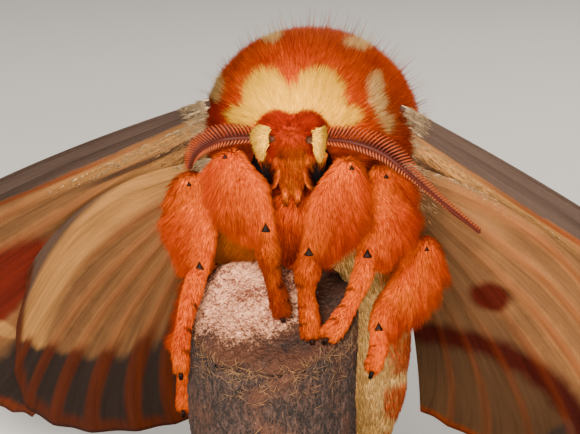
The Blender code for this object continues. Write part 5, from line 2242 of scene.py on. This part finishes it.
@dataclass
class Studio:
    """A pale floor, soft lamps and the camera at the photograph's angle."""

    distance: float = 200.0
    aim: tuple = (0.0, -1.1, -4.75)
    lens: float = 150.0
    sensor: float = 36.0
    paper: tuple = srgb(222, 220, 216)
    sky: tuple = (0.84, 0.83, 0.82, 1.0)
    lamp_tone: tuple = (1.0, 0.92, 0.82)
    lamps: tuple = (
        ("key", (-0.01, -0.4, 0.23), 0.12, 5.7), ("fill", (0.1, -0.42, 0.03), 0.16, 2.6),
        ("rim", (0.10, 0.30, 0.34), 0.2, 1.2),
    )

    def build(self) -> None:
        """Builds the floor, the lamps and the camera."""
        self._floor()
        self._lamps()
        self._camera()

    def _floor(self) -> None:
        """A wide pale sheet under the stand."""
        half = 1500.0
        corners = np.array([(x, y, 0.0) for y in (-half, 0.0, half) for x in (-half, 0.0, half)])
        mesh = make_mesh("floor", corners - HEAD_PLACE, grid_faces(3, 3, False))
        floor = make_object("floor", mesh)
        shader = Shader("floor_paper", 0.9)
        shader.principled.inputs["Base Color"].default_value = self.paper
        mesh.materials.append(shader.material)
        world = bpy.data.worlds.new("studio")
        world.use_nodes = True
        sky = world.node_tree.nodes["Background"].inputs
        sky["Color"].default_value = self.sky
        sky["Strength"].default_value = 0.3
        bpy.context.scene.world = world

    def _lamps(self) -> None:
        """A large key in front and above, a fill and a rim."""
        for name, place, size, power in self.lamps:
            lamp = bpy.data.lights.new(name, "AREA")
            lamp.size = size
            lamp.energy = power
            lamp.color = self.lamp_tone
            thing = make_object(name, lamp)
            thing.location = place
            aim = Vector((0.0, 0.0, 0.04)) - Vector(place)
            thing.rotation_euler = aim.to_track_quat("-Z", "Y").to_euler()

    def _camera(self) -> None:
        """The camera, as far away and as long as the photograph's framing needs."""
        lens = bpy.data.cameras.new("camera")
        lens.lens = self.lens
        lens.sensor_width = self.sensor
        lens.clip_start = 0.01
        camera = make_object("camera", lens)
        place = (np.array(self.aim) + TOWARDS_VIEW * self.distance + HEAD_PLACE) * MM
        turn = Matrix((VIEW_RIGHT, VIEW_UP, TOWARDS_VIEW)).transposed().to_4x4()
        camera.matrix_world = Matrix.Translation(Vector(place)) @ turn
        bpy.context.scene.camera = camera


class Moth:
    """The whole animal: its body under one skin, its coat, feelers and wings."""

    FEELERS: dict[Side, Stations] = {
        Side.LEFT: (
            (-1.3, -1.9, 2.0, 0.45), (-3.2, -2.5, 2.4, 0.75), (-5.1, -2.9, 2.35, 0.9), (-6.5, -2.4, 1.8, 0.9),
            (-7.7, -1.4, 0.9, 0.75), (-8.4, -0.5, -0.1, 0.5), (-8.8, 0.3, -1.1, 0.25),
        ),
        Side.RIGHT: (
            (1.6, -1.9, 2.1, 0.45), (3.3, -2.5, 2.45, 0.75), (5.2, -3.0, 2.5, 0.95), (7.0, -3.2, 2.1, 1.0),
            (8.4, -3.2, 1.4, 0.9), (9.6, -3.1, 0.4, 0.75), (10.6, -2.6, -0.7, 0.5), (13.0, -1.2, -3.2, 0.35),
            (15.6, 0.3, -5.7, 0.2),
        ),
    }
    FOREWING_BASE: Stations = ((-0.6, -0.8), (0.4, 4.2))
    FOREWING_EDGE: Stations = (
        (55.5, 3.6), (57.5, 7.0), (57.0, 12.5), (55.5, 18.5), (53.0, 24.0), (48.5, 26.8),
    )
    FOREWING_ARCH = (-1.6, 0.6)
    HINDWING_ARCH = (-2.6, -1.0)
    HINDWING_DEPTH = 1.35
    HINDWINGS: dict[Side, tuple[Stations, Stations]] = {
        Side.LEFT: (
            ((1.2, 4.0), (2.6, 7.6)),
            ((30.5, 8.9), (41.0, 17.6), (46.0, 24.5), (42.5, 28.6), (33.5, 30.3), (24.0, 30.0)),
        ),
        Side.RIGHT: (
            ((1.2, 3.4), (2.8, 7.0)),
            ((32.5, 6.5), (40.5, 12.8), (44.0, 19.5), (40.5, 24.6), (31.5, 25.4), (23.2, 25.0)),
        ),
    }

    def __init__(self) -> None:
        """Makes the sub-assemblies with their sizes."""
        self.thorax = Thorax()
        self.head = Head()
        self.abdomen = Abdomen()
        self.legs = [Leg(name, *stations) for name, stations in LEG_STATIONS.items()]
        self.feelers = [Feeler(side, self.FEELERS[side]) for side in Side]
        self.wings = []
        for side in Side:
            base, edge = self.FOREWING_BASE, self.FOREWING_EDGE
            fore = WingShape(side, "forewing", base, edge, self.FOREWING_ARCH, 0.0)
            base, edge = self.HINDWINGS[side]
            hind = WingShape(side, "hindwing", base, edge, self.HINDWING_ARCH, self.HINDWING_DEPTH)
            self.wings += [Wing(fore), Wing(hind)]

    def build(self) -> None:
        """Builds and dresses every part of the moth."""
        fur = FurFinish()
        shells = [self.thorax.ball().shell(), *(Ball(*ball).shell() for ball in self.thorax.chest)]
        shells += [*self.head.shells(), self.abdomen.tube().shell(48)]
        for leg in self.legs:
            shells += leg.shells()
        skin = SkinSurface(shells)
        self._dress_skin(skin, fur.material("skin_down"))
        self.thorax.coat(skin, fur.material("thorax_plush"))
        golden = FurFinish(base=srgb(255, 138, 14), cream=srgb(255, 192, 56), root_shade=0.75)
        self.head.coat(skin, golden.material("head_fur"))
        self.head.eyes(EyeFinish().material("eye_gloss"))
        self.head.joints(ChitinFinish(srgb(52, 26, 14), srgb(96, 60, 42)).material("socket_chitin"))
        banded = FurFinish(
            base=srgb(240, 92, 16), cream=srgb(255, 204, 124), root_shade=1.0, pale=srgb(255, 206, 130),
        )
        self.abdomen.coat(skin, banded.material("abdomen_plush"))
        leg_fur = FurFinish(base=srgb(236, 108, 0), deep=srgb(170, 44, 2)).material("leg_fur")
        chitin = ChitinFinish().material("claw_chitin")
        for leg in self.legs:
            leg.coat(skin, leg_fur)
            leg.shell_marks(chitin)
        comb = FeelerFinish().material("feeler_comb")
        for feeler in self.feelers:
            feeler.build(comb)
        scaled = FurFinish(
            srgb(170, 92, 40), srgb(120, 60, 32), srgb(255, 190, 118), srgb(66, 46, 38), 0.8,
            srgb(255, 220, 170),
        )
        wing_fur = scaled.material("wing_fur")
        for wing in self.wings:
            scales = WingFinish(wing.shape.kind, wing.shape.side, curl=wing.shape.curl)
            wing.build(scales.material(f"{wing.node}_scales"))
            wing.fur(wing_fur)

    def _dress_skin(self, skin: SkinSurface, finish: Material) -> None:
        """Stores the coat's markings on the skin and sets it in place of the solids of flesh.

        Args:
            skin: The one skin.
            finish: Its material.
        """
        points = skin.points
        mesh = skin.thing.data
        marks = self.thorax.marks(points)
        upper = ramp(points[:, 2], -4.5, -3.0) * ramp(points[:, 1], 0.5, 2.5)
        belly = 0.85 * ramp(points[:, 1], 11.0, 13.0) * ramp(-points[:, 2], 3.0, 6.0)
        count = len(points)
        # Painted shade: the skin is darker round the eyes.
        for word, rows in (
            ("cream", np.maximum(marks["cream"] * upper, belly)), ("deep", np.maximum(marks["deep"], 0.4)),
            ("dark", self.head.gloom(points)), ("shade", np.full(count, 0.35)), ("tip", np.full(count, 0.25)),
            ("root", points),
        ):
            set_numbers(mesh, word, rows)
        flesh = ["head", "thorax", "abdomen_front", "abdomen_rear", "palp_left", "palp_right"]
        flesh += [f"{leg.name}_{part}" for leg in self.legs for part in ("femur", "tibia", "tarsus")]
        install(skin.thing, finish, "thorax_fur", *flesh)


def dress_stand() -> None:
    """Gives the rod and the base their finishes."""
    for node, finish in (("stand_rod", BrassFinish()), ("stand_base", WalnutFinish())):
        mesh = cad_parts[node].data
        mesh.materials.clear()
        mesh.materials.append(finish.material(node + "_finish"))


def main() -> None:
    """Builds every piece in order."""
    logging.basicConfig(level=logging.INFO, format="%(message)s")
    Studio().build()
    Moth().build()
    branch = Branch()
    branch.build(BarkFinish().material("branch_bark"))
    branch.fray(FibreFinish().material("branch_fibre"))
    dress_stand()


if __name__ == "__main__":
    main()
